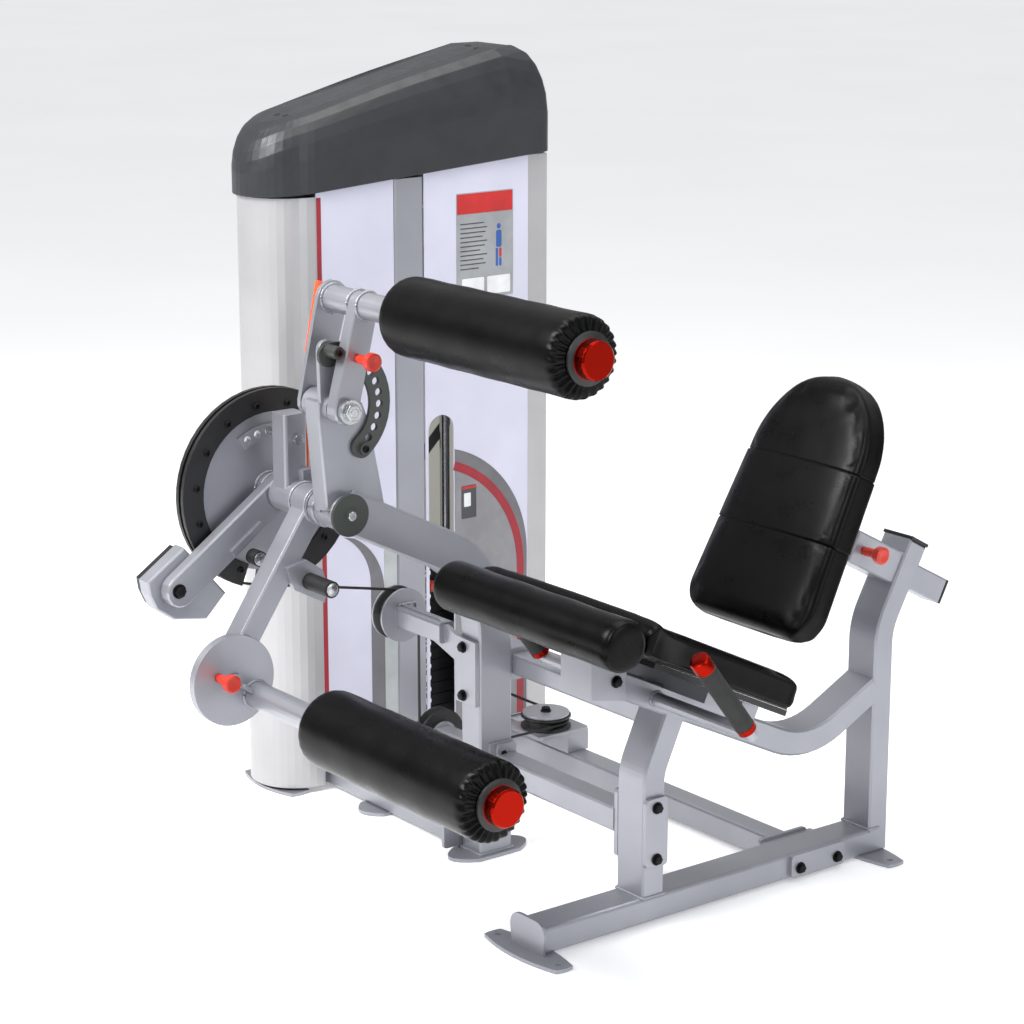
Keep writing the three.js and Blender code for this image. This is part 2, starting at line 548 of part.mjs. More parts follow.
const cam = () => {
  const axis = [0, PIVOT_Z];
  const startHoles = [116, 104, 91, 78].map((deg) => polar(axis, 112, THREE.MathUtils.degToRad(deg)));
  const boltArc = ringSector(axis, 98, 126, THREE.MathUtils.degToRad(70), THREE.MathUtils.degToRad(124), 14);
  const disc = fuse([rod('x', axis, CAM_PLATE_R, ...CAM_PLATE_X, 48),
    slab('x', boltArc, CAM_PLATE_X[1] - 1, START_PLATE_X), axisSleeve(...CAM_SLEEVE_X, 30)]);
  const plate = cut(disc, [sleeveBore(...CAM_SLEEVE_X),
    ...startHoles.map((hole) => rod('x', hole, 7.4, CAM_X[0], START_PLATE_X + 10, 16))]);
  const [weightEnd, bumper] = fromAxis([-225, -158], [-74, -112]);
  const arm = slab('x', capsule(axis, 31, weightEnd, 31), ...WEIGHT_ARM_X, 3);
  const tab = slab('x', polygon(fromAxis([-120, -96], [-52, -48], [-44, -58], [-112, -107])),
    WEIGHT_ARM_X[1] - 3, -629);
  add('cam_plate', fuse([plate, cut(fuse([arm, tab]), [sleeveBore(...CAM_SLEEVE_X)])]), FINISH.frame());

  const from = THREE.MathUtils.degToRad(-98);
  const to = THREE.MathUtils.degToRad(249);
  const groove = (CAM_X[0] + CAM_X[1]) / 2;
  const flange = (inner, low, high, outer = CAM_R) =>
    slab('x', ringSector(axis, inner, outer, from, to, 50), low, high);
  add('cam_rim', fuse([
    flange(CAM_RING_IN, CAM_PLATE_X[1] + FIT_GAP, CAM_X[1]),
    flange(CAM_PLATE_R + FIT_GAP, groove - 4, CAM_PLATE_X[1] + 1, CAM_PITCH_R - CABLE_R - 0.5),
    flange(CAM_PLATE_R + FIT_GAP, CAM_X[0], groove - 3.6),
  ]), FINISH.black());

  const weight = fromAxis([-201, -83], [-281, -137], [-277, -163], [-263, -193], [-226, -219], [-156, -230],
    [-112, -186]);
  const [[midY, midZ]] = fromAxis([-195, -156]);
  add('counterweight', slab('x', polygon(weight), CAM_X[0], WEIGHT_ARM_X[0] - FIT_GAP, 3), FINISH.frame());
  const inner = weight.map(([y, z]) => [midY + (y - midY) * 0.93, midZ + (z - midZ) * 0.93]);
  add('counterweight_core', slab('x', polygon(inner), CAM_X[0] - 20, CAM_X[0] - FIT_GAP, 2), FINISH.black());
  add('bumper_cam', rod('x', bumper, 15, -628.7, -602, 24), FINISH.rubber());
};

const legArm = () => {
  const disc = onArm(ARM_LENGTH);
  const tubeStart = onArm(20);
  const arm = slab('x', ribbon([tubeStart, onArm(ARM_LENGTH - 4)], ARM_D), ...ARM_X, 4);
  const [plunger, bumper] = fromAxis([-2, 114], [-31, -140]);
  const tab = polygon(fromAxis([-36, -98], [0, -124], [11, -163], [2, -188], [-64, -152], [-80, -108]));
  const solid = fuse([
    axisSleeve(...LEG_SLEEVE_X),
    arm,
    rod('x', disc, ARM_D / 2, ARM_X[0] + 4, ARM_X[1] - 4, 28),
    rod('x', disc, 14, ARM_X[1] - 5, -488, 24),
    rod('x', disc, SHIN_DISC_R, ARM_X[1] - 3, -505, 40),
    barZ(-628, -580, -27, 23, PIVOT_Z + 17, PIVOT_Z + 161),
    barX(-612, -565, 2, 27, PIVOT_Z + 27, PIVOT_Z + 56, 3),
    slab('x', tab, ARM_X[1] - 3, -500),
  ]);
  add('leg_arm', cut(solid, [sleeveBore(...LEG_SLEEVE_X), rod('x', plunger, 7.4, -640, -570, 16)]),
    FINISH.frame());
  add('bumper_arm', rod('x', bumper, 16, -499.7, -424, 24), FINISH.rubber());
  add('start_plunger', fuse([rod('x', plunger, 6.6, START_PLATE_X + 0.6, -572, 16),
    rod('x', plunger, 11, -579.5, -568, 20)]), FINISH.steel());
  const [foot, bend, end, gripLow, gripHigh] = fromAxis([32, 41], [36, 237], [48, 292], [43, 270], [70, 402])
    .map(([y, z]) => [LEVER_X, y, z]);
  add('start_lever', fuse([rodBetween(foot, bend, 4.5, 12), ball(bend, 4.5), rodBetween(bend, end, 4.5, 12),
    rodBetween(gripLow, gripHigh, 9, 16), rod('y', [LEVER_X, foot[2]], 8, 28.4, 36, 16)]), FINISH.orange());
};

const shinCarrier = () => {
  const disc = onArm(ARM_LENGTH);
  const tube = [disc[0] + SHIN_OFFSET[0], disc[1] + SHIN_OFFSET[1]];
  const solid = fuse([
    rod('x', disc, SHIN_DISC_R, -504.5, -496, 44),
    rod('x', tube, PAD_TUBE_R, -499, PAD_X[0] - 2, 24),
    rod('x', tube, PAD_SPINDLE_R, PAD_X[0] - 3, PAD_X[1] + 3, 20),
    slab('x', polygon([[disc[0] + 8, disc[1] - 2], [tube[0] - 4, tube[1] + 6], [tube[0] - 8, tube[1]],
      [disc[0] + 4, disc[1] - 8]]), -497, -470),
  ]);
  const pin = [disc[0] - 34, disc[1] + 12];
  add('shin_carrier', cut(solid, [rod('x', disc, 14.5, -600, -480, 24), rod('x', pin, 7.6, -510, -490, 16)]),
    FINISH.frame());
  popPin('shin_pop_pin', pin, -504, -494);
  roller('shin', tube);
};

// Foam roller on its spindle, with the red cap that keeps it on.
const roller = (name, [y, z]) => {
  const [low, high] = PAD_X;
  const radius = 14;
  const profile = [[PAD_BORE, 0], [PAD_R - radius, 0], [PAD_R - 4, 4], [PAD_R, radius],
    [PAD_R, high - low - radius], [PAD_R - 4, high - low - 4], [PAD_R - radius, high - low],
    [PAD_BORE, high - low], [PAD_BORE, 0]].map(([r, h]) => new THREE.Vector2(r, h));
  const pad = new THREE.LatheGeometry(profile, 28).rotateZ(-Math.PI / 2);
  add(`${name}_pad`, pad.translate(low, y, z), FINISH.vinyl());
  const cap = [[0, 0], [45, 0], [45, 4], [34, 5], [34, 25], [31, 28], [0, 28]]
    .map(([r, h]) => new THREE.Vector2(r, h));
  add(`${name}_cap`, new THREE.LatheGeometry(cap, 24).rotateZ(-Math.PI / 2)
    .translate(high + 3 + FIT_GAP, y, z), FINISH.anodised());
};

const thighArm = () => {
  const lean = Math.atan2(THIGH_TUBE[1] - THIGH_PIVOT[1], THIGH_TUBE[0] - THIGH_PIVOT[0]);
  const pin = polar(THIGH_PIVOT, INDEX_HOLE_R, lean);
  const solid = fuse([
    slab('x', capsule(THIGH_PIVOT, 28, THIGH_TUBE, 33), -504, -494),
    slab('x', capsule(THIGH_PIVOT, 27, THIGH_TUBE, 25), -412, -382, 3),
    rod('x', THIGH_PIVOT, 10, -500, -372, 24),
    rod('x', THIGH_PIVOT, 20, -384, -370, 24),
    rod('x', THIGH_TUBE, PAD_TUBE_R, -500, PAD_X[0] - 2, 24),
    rod('x', THIGH_TUBE, PAD_SPINDLE_R, PAD_X[0] - 3, PAD_X[1] + 3, 20),
  ]);
  add('thigh_arm', cut(solid, [rod('x', pin, 7.6, -420, -370, 16)]), FINISH.frame());
  popPin('thigh_pop_pin', pin, -419.5, -380);
  roller('thigh', THIGH_TUBE);
};

// ---------------------------------------------------------------- weight tower
const capUnderside = (y) => CAP_LOW_FRONT + (y - CAP_FRONT_Y) * CAP_RISE;

const towerFrame = () => {
  const [far, near] = TOWER_X;
  const [barLow, barHigh] = MID_BAR_Y;
  const rail = (x0) => barY(x0, x0 + 50, 236, TOWER_BACK_Y - SHEET - 1, FOOT_T, BASE_TOP);
  const cross = (y0) => barX(far + 30, near - 30, y0, y0 + 50, FOOT_T, BASE_TOP);
  const cheek = (x0) => slab('x', capsule([TOP_PULLEY[0], 1215], 26, TOP_PULLEY, 18), x0, x0 + 6);
  const gap = PULLEY_W / 2 + 1;
  const baseAxle = [TOWER_PULLEY[0], TOWER_PULLEY[2]];
  const baseY = TOWER_PULLEY[1];
  return fuse([
    rail(far + 20), rail(near - 70), cross(236), cross(500), cross(640), cross(740), cross(810),
    barZ(near - 50, near, barLow, barHigh, 40, MID_BAR_TOP),
    barZ(far + 4, far + 40, barLow, barHigh, 40, MID_BAR_TOP),
    barX(far + 10, near - 10, barLow + 12, barHigh - 14, ...TOWER_TOP_Z),
    barY(STACK_X - 48, STACK_X + 48, barLow - 20, 820, ...TOWER_TOP_Z),
    slab('z', roundRect(STACK_X - 58, STACK_X + 58, STACK_Y - 140, STACK_Y + 140, 8), BASE_TOP - 2, 64),
    cheek(STACK_X - gap - 6), cheek(STACK_X + gap),
    rod('x', TOP_PULLEY, AXLE_R, STACK_X - gap - 3, STACK_X + gap + 3, 20),
    footPlate(STACK_X + 6, 226, 92, 40),
    footPlate(STACK_X + 6, 840, 92, 36),
    rod('y', baseAxle, AXLE_R, baseY - gap - 3, baseY + gap + 3, 16),
    slab('y', capsule(baseAxle, 22, [baseAxle[0], 40], 24), baseY + gap, baseY + gap + 6),
    slab('y', capsule(baseAxle, 22, [baseAxle[0], 40], 24), baseY - gap - 6, baseY - gap),
  ]);
};

const towerShell = () => {
  const [far, near] = TOWER_X;
  const mid = (far + near) / 2;
  const radius = (near - far) / 2;
  const arc = (r, flip) => {
    const points = [];
    for (let k = 0; k <= 20; k += 1) {
      const angle = Math.PI + (Math.PI * k) / 20;
      points.push([mid + r * Math.cos(angle), TOWER_FRONT_Y + r * Math.sin(angle)]);
    }
    return flip ? points.reverse() : points;
  };
  const column = polygon([...arc(radius), [near, TOWER_FRONT_Y + 5], [near - SHEET, TOWER_FRONT_Y + 5],
    ...arc(radius - SHEET, true), [far + SHEET, TOWER_FRONT_Y + 5], [far, TOWER_FRONT_Y + 5]]);
  add('tower_column', slab('z', column, COLUMN_LOW, CAP_LOW_FRONT - 1), FINISH.frame());

  const back = TOWER_BACK_Y;
  const lip = 824;
  const channel = polygon([[near, lip], [near, back], [far, back], [far, lip], [far + SHEET, lip],
    [far + SHEET, back - SHEET], [near - SHEET, back - SHEET], [near - SHEET, lip]]);
  add('tower_rear_channel', slab('z', channel, SHELL_LOW, capUnderside(lip) - 1), FINISH.frame());

  const panel = (name, x0, y0, y1, holes = []) => {
    const outline = polygon([[y0, SHELL_LOW], [y1, SHELL_LOW], [y1, capUnderside(y1) - 1],
      [y0, capUnderside(y0) - 1]]);
    outline.holes.push(...holes);
    add(name, slab('x', outline, x0, x0 + SHEET), FINISH.panel());
  };
  panel('panel_front', near - SHEET, TOWER_FRONT_Y + 5.3, MID_BAR_Y[0] - FIT_GAP);
  const slot = new THREE.Path();
  const slotHalf = 33;
  const slotTop = 736;
  slot.moveTo(STACK_Y - slotHalf, 80);
  slot.lineTo(STACK_Y + slotHalf, 80);
  slot.lineTo(STACK_Y + slotHalf, slotTop);
  slot.absarc(STACK_Y, slotTop, slotHalf, 0, Math.PI, false);
  slot.lineTo(STACK_Y - slotHalf, 80);
  const cableHole = new THREE.Path();
  cableHole.absarc(TOWER_PULLEY[1], FLOOR_PULLEY[2], 12, 0, 2 * Math.PI, false);
  panel('panel_rear', near - SHEET, MID_BAR_Y[1] + FIT_GAP, lip - FIT_GAP, [slot, cableHole]);
  panel('panel_far', far, TOWER_FRONT_Y + 5.3, lip - FIT_GAP);
};

// The cap is a stack of plan outlines that draw in towards the top, under a roof that rises to the back.
const towerCap = () => {
  const margin = 9;
  const [far, near] = [TOWER_X[0] - margin, TOWER_X[1] + margin];
  const mid = (far + near) / 2;
  const radius = (near - far) / 2;
  const back = TOWER_BACK_Y + margin;
  const roof = new THREE.CatmullRomCurve3([[165, 1350], [217, 1396], [330, 1430], [500, 1475], [697, 1518],
    [775, 1532], [840, 1516], [890, 1468]].map(([y, z]) => new THREE.Vector3(0, y, z)));
  const roofPoints = roof.getPoints(60);
  const roofZ = (y) => {
    const k = roofPoints.findIndex((point) => point.y >= y);
    if (k <= 0) return roofPoints[k === 0 ? 0 : roofPoints.length - 1].z;
    const [p, q] = [roofPoints[k - 1], roofPoints[k]];
    return p.z + ((q.z - p.z) * (y - p.y)) / (q.y - p.y);
  };
  const plan = [];
  for (let k = 0; k <= 20; k += 1) {
    const angle = Math.PI + (Math.PI * k) / 20;
    plan.push([mid + radius * Math.cos(angle), TOWER_FRONT_Y + radius * Math.sin(angle)]);
  }
  const corner = 26;
  for (let k = 1; k <= 7; k += 1) plan.push([near, TOWER_FRONT_Y + ((back - corner - TOWER_FRONT_Y) * k) / 7]);
  for (let k = 1; k <= 4; k += 1) {
    const angle = (Math.PI / 8) * k;
    plan.push([near - corner + corner * Math.cos(angle), back - corner + corner * Math.sin(angle)]);
  }
  for (let k = 4; k >= 1; k -= 1) {
    const angle = Math.PI / 2 + (Math.PI / 8) * (4 - k);
    plan.push([far + corner + corner * Math.cos(angle), back - corner + corner * Math.sin(angle)]);
  }
  for (let k = 7; k >= 1; k -= 1) plan.push([far, TOWER_FRONT_Y + ((back - corner - TOWER_FRONT_Y) * k) / 7]);
  const levels = [[0, 0], [0, 0.45], [3, 0.66], [9, 0.8], [18, 0.9], [32, 0.97], [52, 1]];
  const positions = [];
  for (const [inset, rise] of levels) {
    for (const [x, y] of plan) {
      const scaleX = 1 - inset / radius;
      const halfY = (back - TOWER_FRONT_Y + radius) / 2;
      const midY = back - halfY;
      const yy = midY + (y - midY) * (1 - inset / halfY);
      const low = capUnderside(y);
      positions.push(mid + (x - mid) * scaleX, yy, low + (roofZ(yy) - low) * rise);
    }
  }
  const count = plan.length;
  const index = [];
  for (let level = 0; level < levels.length - 1; level += 1) {
    for (let k = 0; k < count; k += 1) {
      const next = (k + 1) % count;
      const [a, b] = [level * count + k, level * count + next];
      index.push(a, b, b + count, a, b + count, a + count);
    }
  }
  const outline = plan.map(([x, y]) => new THREE.Vector2(x, y));
  const top = (levels.length - 1) * count;
  for (const [a, b, c] of THREE.ShapeUtils.triangulateShape(outline, [])) {
    index.push(c, b, a);
    index.push(top + a, top + b, top + c);
  }
  const geometry = new THREE.BufferGeometry();
  geometry.setAttribute('position', new THREE.Float32BufferAttribute(positions, 3));
  geometry.setIndex(index);
  add('tower_cap', geometry, FINISH.cap());
};

// Iron plates with a groove between each pair, bored for the two guide rods and the selector stem.
const platePile = (low, count, stemTop) => {
  const half = [52, 150];
  const groove = 2.2;
  const block = (z0, z1, shrink) =>
    new THREE.BoxGeometry(2 * (half[0] - shrink), 2 * (half[1] - shrink), z1 - z0)
      .translate(STACK_X, STACK_Y, (z0 + z1) / 2);
  const high = low + count * PLATE_PITCH - groove;
  const plates = Array.from({ length: count }, (_, k) =>
    block(low + k * PLATE_PITCH, low + (k + 1) * PLATE_PITCH - groove, 0));
  const core = block(low + 1, high - 1, 4);
  const bores = Object.values(GUIDE_RODS).map((at) => rod('z', at, GUIDE_ROD_R + 1, low - 1, high + 1, 12));
  const stemBore = rod('z', [STACK_X, STACK_Y], 13, low - 1, high + 1, 12);
  if (!stemTop) return cut(fuse([...plates, core]), [...bores, stemBore]);
  const pinHole = rod('x', [STACK_Y, low + 12], 5.6, STACK_X, STACK_X + 60, 12);
  const stem = [rod('z', [STACK_X, STACK_Y], 11, STACK_Z + 6, high + 4, 12),
    rod('z', [STACK_X, STACK_Y], 9, high, stemTop, 12)];
  return cut(fuse([...plates, core, ...stem]), [...bores, pinHole]);
};

const stack = () => {
  const liftedLow = STACK_Z + RESTING_PLATES * PLATE_PITCH;
  add('stack_resting', platePile(STACK_Z, RESTING_PLATES), FINISH.iron());
  add('stack_lifted', platePile(liftedLow, LIFTED_PLATES, STEM_TOP), FINISH.iron());
  const knob = [[0, 0], [5, 0], [5, 51], [11, 53], [13, 66], [10, 74], [0, 75]]
    .map(([r, h]) => new THREE.Vector2(r, h));
  add('selector_pin', new THREE.LatheGeometry(knob, 20).rotateZ(-Math.PI / 2)
    .translate(STACK_X + 2, STACK_Y, liftedLow + 12), FINISH.red());
  for (const [end, at] of Object.entries(GUIDE_RODS)) {
    const foot = 64 + FIT_GAP;
    add(`guide_rod_${end}`, rod('z', at, GUIDE_ROD_R, foot, TOWER_TOP_Z[0] - FIT_GAP, 16), FINISH.steel());
    add(`stack_buffer_${end}`, cut(rod('z', at, 22, foot, STACK_Z - FIT_GAP, 16),
      [rod('z', at, GUIDE_ROD_R + 1, foot - 1, STACK_Z, 16)]), FINISH.rubber());
  }
};

const towerPulleys = () => {
  add('tower_base_pulley', pulleyX(TOWER_PULLEY_R, TOWER_PULLEY_PITCH).rotateZ(Math.PI / 2)
    .translate(...TOWER_PULLEY), FINISH.black());
  add('tower_top_pulley', pulleyX(TOP_PULLEY_R, TOP_PULLEY_PITCH).translate(STACK_X, ...TOP_PULLEY),
    FINISH.black());
  const [x, y, z] = FLOOR_PULLEY;
  add('floor_pulley', pulleyX(PULLEY_R, PULLEY_PITCH).rotateY(-Math.PI / 2).translate(x, y, z), FINISH.black());
  const half = PULLEY_W / 2 + 1;
  add('floor_pulley_bracket', fuse([
    rod('z', [x, y], AXLE_R, z - half - 2, z + half + 6, 20),
    rod('z', [x, y], PULLEY_R - 4, z + half, z + half + 5, 36),
    slab('z', roundRect(x - 58, x + 58, y - 60, 790, 8), z - half - 7, z - half),
    slab('x', polygon([[735, BASE_TOP + FIT_GAP], [790, BASE_TOP + FIT_GAP], [790, z - half - 5],
      [735, z - half - 5]]), x - 55, x + 55),
  ]), FINISH.frame());
};

// ---------------------------------------------------------------- cable
// The cable leaves the bottom of the cam, passes over the idler, under the post pulley, around the
// floor pulley into the tower, up the back of the stack and over the top pulley to the stack stem.
const cable = () => {
  const v = (x, y, z) => new THREE.Vector3(x, y, z);
  const arcX = (x, [cy, cz], r, from, to, n) => Array.from({ length: n + 1 }, (_, k) => {
    const angle = from + ((to - from) * k) / n;
    return v(x, cy + r * Math.cos(angle), cz + r * Math.sin(angle));
  });
  const span = Math.hypot(IDLER[0], PIVOT_Z - IDLER[1]);
  const tilt = Math.acos((CAM_PITCH_R + PULLEY_PITCH) / span) - Math.atan2(IDLER[0], PIVOT_Z - IDLER[1]);
  const down = -Math.PI / 2 - tilt;
  const leave = polar([0, PIVOT_Z], CAM_PITCH_R, down);
  const [fx, fy, floorZ] = FLOOR_PULLEY;
  const freeStart = new THREE.Vector2(...leave)
    .addScaledVector(new THREE.Vector2(Math.cos(tilt), -Math.sin(tilt)), WRAP_CLEARANCE);
  const points = [
    v(CABLE_X, freeStart.x, freeStart.y),
    ...arcX(CABLE_X, IDLER, PULLEY_PITCH, Math.PI / 2 - tilt, 0, 6),
    ...arcX(CABLE_X, POST_PULLEY, PULLEY_PITCH, Math.PI, 1.5 * Math.PI, 6),
    ...Array.from({ length: 7 }, (_, k) => {
      const angle = (Math.PI / 12) * k;
      return v(fx + PULLEY_PITCH * Math.cos(angle), fy + PULLEY_PITCH * Math.sin(angle), floorZ);
    }),
    ...Array.from({ length: 7 }, (_, k) => {
      const angle = -Math.PI / 2 - (Math.PI / 12) * k;
      return v(TOWER_PULLEY[0] + TOWER_PULLEY_PITCH * Math.cos(angle), TOWER_PULLEY[1],
        TOWER_PULLEY[2] + TOWER_PULLEY_PITCH * Math.sin(angle));
    }),
    ...arcX(STACK_X, TOP_PULLEY, TOP_PULLEY_PITCH, 0, Math.PI, 16),
    v(STACK_X, STACK_Y, DROP_TOP),
  ];
  add('cable_main', tubeThrough(points, CABLE_R), FINISH.cable());
  add('cable_drop', rod('z', [STACK_X, STACK_Y], CABLE_R, STEM_TOP + FIT_GAP, DROP_TOP - FIT_GAP, 10),
    FINISH.cable());
  const wrapEnd = down + THREE.MathUtils.degToRad(104);
  const wrap = arcX(CABLE_X, [0, PIVOT_Z], CAM_PITCH_R, down - WRAP_ANCHOR, wrapEnd, 26);
  add('cable_wrap', tubeThrough(wrap, CABLE_R), FINISH.cable());
};

// Round bar through a list of points, one cross-section at each.
const tubeThrough = (points, radius, sides = 6) => {
  const positions = [];
  const index = [];
  let normal = new THREE.Vector3(1, 0, 0);
  points.forEach((point, k) => {
    const before = points[Math.max(k - 1, 0)];
    const after = points[Math.min(k + 1, points.length - 1)];
    const a = k > 0 ? point.clone().sub(before).normalize() : null;
    const b = k < points.length - 1 ? after.clone().sub(point).normalize() : null;
    const along = (a || b).clone().add(b || a).normalize();
    normal = normal.clone().addScaledVector(along, -normal.dot(along));
    if (normal.lengthSq() < 1e-6) normal.set(0, 0, 1).addScaledVector(along, -along.z);
    normal.normalize();
    const side = along.clone().cross(normal);
    for (let s = 0; s < sides; s += 1) {
      const angle = (2 * Math.PI * s) / sides;
      const p = point.clone().addScaledVector(normal, radius * Math.cos(angle))
        .addScaledVector(side, radius * Math.sin(angle));
      positions.push(p.x, p.y, p.z);
    }
  });
  for (let k = 0; k < points.length - 1; k += 1) {
    for (let s = 0; s < sides; s += 1) {
      const next = (s + 1) % sides;
      const [a, b] = [k * sides + s, k * sides + next];
      index.push(a, b, b + sides, a, b + sides, a + sides);
    }
  }
  const last = (points.length - 1) * sides;
  for (let s = 1; s < sides - 1; s += 1) {
    index.push(0, s + 1, s);
    index.push(last, last + s, last + s + 1);
  }
  const geometry = new THREE.BufferGeometry();
  geometry.setAttribute('position', new THREE.Float32BufferAttribute(positions, 3));
  geometry.setIndex(index);
  return geometry;
};

// ---------------------------------------------------------------- the machine
backrest();
seatGroup();
handle(1);
handle(-1);
add('main_post', mainPost(), FINISH.frame());
add('hub_cap', fuse([rod('x', [0, PIVOT_Z], 40, -411.7, -405, 40), rod('x', [0, PIVOT_Z], 12, -406, -401, 20)]),
  FINISH.dark());
add('index_plate', indexPlate(), FINISH.dark());
crossTubes();
idler();
cam();
legArm();
shinCarrier();
thighArm();
add('tower_frame', towerFrame(), FINISH.frame());
towerShell();
towerCap();
stack();
towerPulleys();
cable();

// The origin is the middle of the floor area the machine covers.
const bounds = new THREE.Box3().setFromObject(model);
const centre = bounds.getCenter(new THREE.Vector3());
model.position.set(-centre.x, -centre.y, -bounds.min.z);

export default group;
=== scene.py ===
import bpy
import json
import math
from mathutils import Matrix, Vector
from mathutils.kdtree import KDTree


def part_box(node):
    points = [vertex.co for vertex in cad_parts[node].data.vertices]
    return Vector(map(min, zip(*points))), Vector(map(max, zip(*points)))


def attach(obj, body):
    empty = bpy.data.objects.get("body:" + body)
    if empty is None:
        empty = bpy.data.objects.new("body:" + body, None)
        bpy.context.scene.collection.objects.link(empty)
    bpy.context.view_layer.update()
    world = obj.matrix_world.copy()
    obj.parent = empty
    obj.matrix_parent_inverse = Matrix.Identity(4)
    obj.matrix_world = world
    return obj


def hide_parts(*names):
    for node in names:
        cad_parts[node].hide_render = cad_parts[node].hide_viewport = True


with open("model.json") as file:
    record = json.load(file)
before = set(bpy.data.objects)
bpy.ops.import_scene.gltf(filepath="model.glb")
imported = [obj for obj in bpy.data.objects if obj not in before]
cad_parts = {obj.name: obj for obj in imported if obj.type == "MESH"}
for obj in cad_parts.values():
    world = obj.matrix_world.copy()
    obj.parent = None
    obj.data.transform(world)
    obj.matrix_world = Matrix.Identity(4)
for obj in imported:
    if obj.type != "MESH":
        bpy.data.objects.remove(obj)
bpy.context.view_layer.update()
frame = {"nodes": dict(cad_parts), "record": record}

# ---------------------------------------------------------------- the machine's own coordinates
# Millimetres: x = 0 on the seat's middle plane, y = 0 on the exercise axis, z = 0 on the floor.
seat_lo, seat_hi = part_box("seat_frame")
hub_lo, hub_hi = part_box("hub_cap")
X0 = (seat_lo.x + seat_hi.x) / 2
Y0 = (hub_lo.y + hub_hi.y) / 2
AXIS_Z = (hub_lo.z + hub_hi.z) * 500


def at(x, y, z):
    return Vector((X0 + x / 1000, Y0 + y / 1000, z / 1000))


def span(node, axis):
    """Lowest and highest coordinate of a CAD node along one axis, in the machine's millimetres."""
    lo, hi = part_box(node)
    shift = (X0, Y0, 0)["xyz".index(axis)]
    k = "xyz".index(axis)
    return (lo[k] - shift) * 1000, (hi[k] - shift) * 1000


def middle(node, axis):
    lo, hi = span(node, axis)
    return (lo + hi) / 2


SEAT_ORIGIN = Vector((0, 443, 402))  # on the seat rail's axis, under the cushion
THIGH_PIVOT = (-20, 950)  # (y, z), as are the next two
THIGH_TUBE = (28, 1137)
WEIGHT_CENTRE = (-231, 592)
CAM_PITCH_R = 190  # the cable's centre line on the cam
IDLER_PITCH_R = 48
CABLE_X = -687
PLATE_PITCH = 26.3
RESTING_PLATES = 11
ALL_PLATES = 14
STOP_ANGLES = (97, -54)  # of the two index stops, round the thigh pivot


# ---------------------------------------------------------------- materials
def srgb(r, g, b):
    def lin(c):
        c = c / 255
        return c / 12.92 if c <= 0.04045 else ((c + 0.055) / 1.055) ** 2.4
    return (lin(r), lin(g), lin(b), 1.0)


class Shader:
    """One node material: a principled shader with helpers for noise, ramps and bumps."""

    def __init__(self, name, color, roughness, metallic=0.0, **sockets):
        self.material = bpy.data.materials.new(name)
        self.material.use_nodes = True
        self.tree = self.material.node_tree
        self.shader = self.tree.nodes["Principled BSDF"]
        self.set("Base Color", color)
        self.set("Roughness", roughness)
        self.set("Metallic", metallic)
        for key, value in sockets.items():
            self.set(key.replace("_", " "), value)
        self.coords = self.tree.nodes.new("ShaderNodeTexCoord").outputs["Object"]
        self.normal = None

    def set(self, socket, value):
        self.shader.inputs[socket].default_value = value

    def add(self, kind, **values):
        node = self.tree.nodes.new(kind)
        for key, value in values.items():
            node.inputs[key.replace("_", " ")].default_value = value
        return node

    def link(self, a, b):
        self.tree.links.new(a, b)

    def noise(self, scale, detail=4.0, rough=0.55, stretch=None):
        node = self.add("ShaderNodeTexNoise", Scale=scale, Detail=detail, Roughness=rough)
        source = self.coords
        if stretch:
            mapping = self.add("ShaderNodeMapping", Scale=stretch)
            self.link(source, mapping.inputs["Vector"])
            source = mapping.outputs["Vector"]
        self.link(source, node.inputs["Vector"])
        return node.outputs["Fac"]

    def cells(self, scale):
        node = self.add("ShaderNodeTexVoronoi", Scale=scale)
        self.link(self.coords, node.inputs["Vector"])
        return node.outputs["Distance"]

    def ramp(self, fac, stops, target):
        node = self.tree.nodes.new("ShaderNodeValToRGB")
        elements = node.color_ramp.elements
        while len(elements) < len(stops):
            elements.new(0.5)
        for element, (place, color) in zip(elements, stops):
            element.position = place
            element.color = color if len(color) == 4 else (*color, 1.0)
        self.link(fac, node.inputs["Fac"])
        self.link(node.outputs["Color"], self.shader.inputs[target])

    def bump(self, height, strength, distance):
        node = self.add("ShaderNodeBump", Strength=strength, Distance=distance)
        self.link(height, node.inputs["Height"])
        if self.normal:
            self.link(self.normal, node.inputs["Normal"])
        self.normal = node.outputs["Normal"]
        self.link(self.normal, self.shader.inputs["Normal"])

    def bevel(self, radius):
        node = self.add("ShaderNodeBevel", Radius=radius)
        node.samples = 6
        self.normal = node.outputs["Normal"]
        self.link(self.normal, self.shader.inputs["Normal"])


def grey(v):
    return (v, v, v)


def shade(color, factor):
    return (color[0] * factor, color[1] * factor, color[2] * factor, 1.0)


def coated(name, color, roughness, metallic, edge=0.0016, peel=0.12, coat=0.0):
    """Powder coat: faint orange peel, slow colour drift and a soft edge."""
    s = Shader(name, color, roughness, metallic, Coat_Weight=coat, Coat_Roughness=0.25)
    s.bevel(edge)
    s.ramp(s.noise(5.0, 3.0), [(0.3, shade(color, 0.93)), (0.7, shade(color, 1.05))], "Base Color")
    s.ramp(s.noise(9.0, 4.0), [(0.3, grey(roughness - 0.05)), (0.7, grey(roughness + 0.07))], "Roughness")
    s.bump(s.noise(900.0, 2.0), peel, 0.0004)
    return s.material


def moulded(name, color, roughness, grain=0.15, edge=0.0012):
    s = Shader(name, color, roughness)
    s.bevel(edge)
    s.ramp(s.noise(14.0, 4.0), [(0.3, shade(color, 0.85)), (0.7, shade(color, 1.15))], "Base Color")
    s.ramp(s.noise(30.0, 3.0), [(0.3, grey(roughness - 0.06)), (0.7, grey(roughness + 0.08))], "Roughness")
    s.bump(s.noise(1400.0, 2.0), grain, 0.0003)
    return s.material


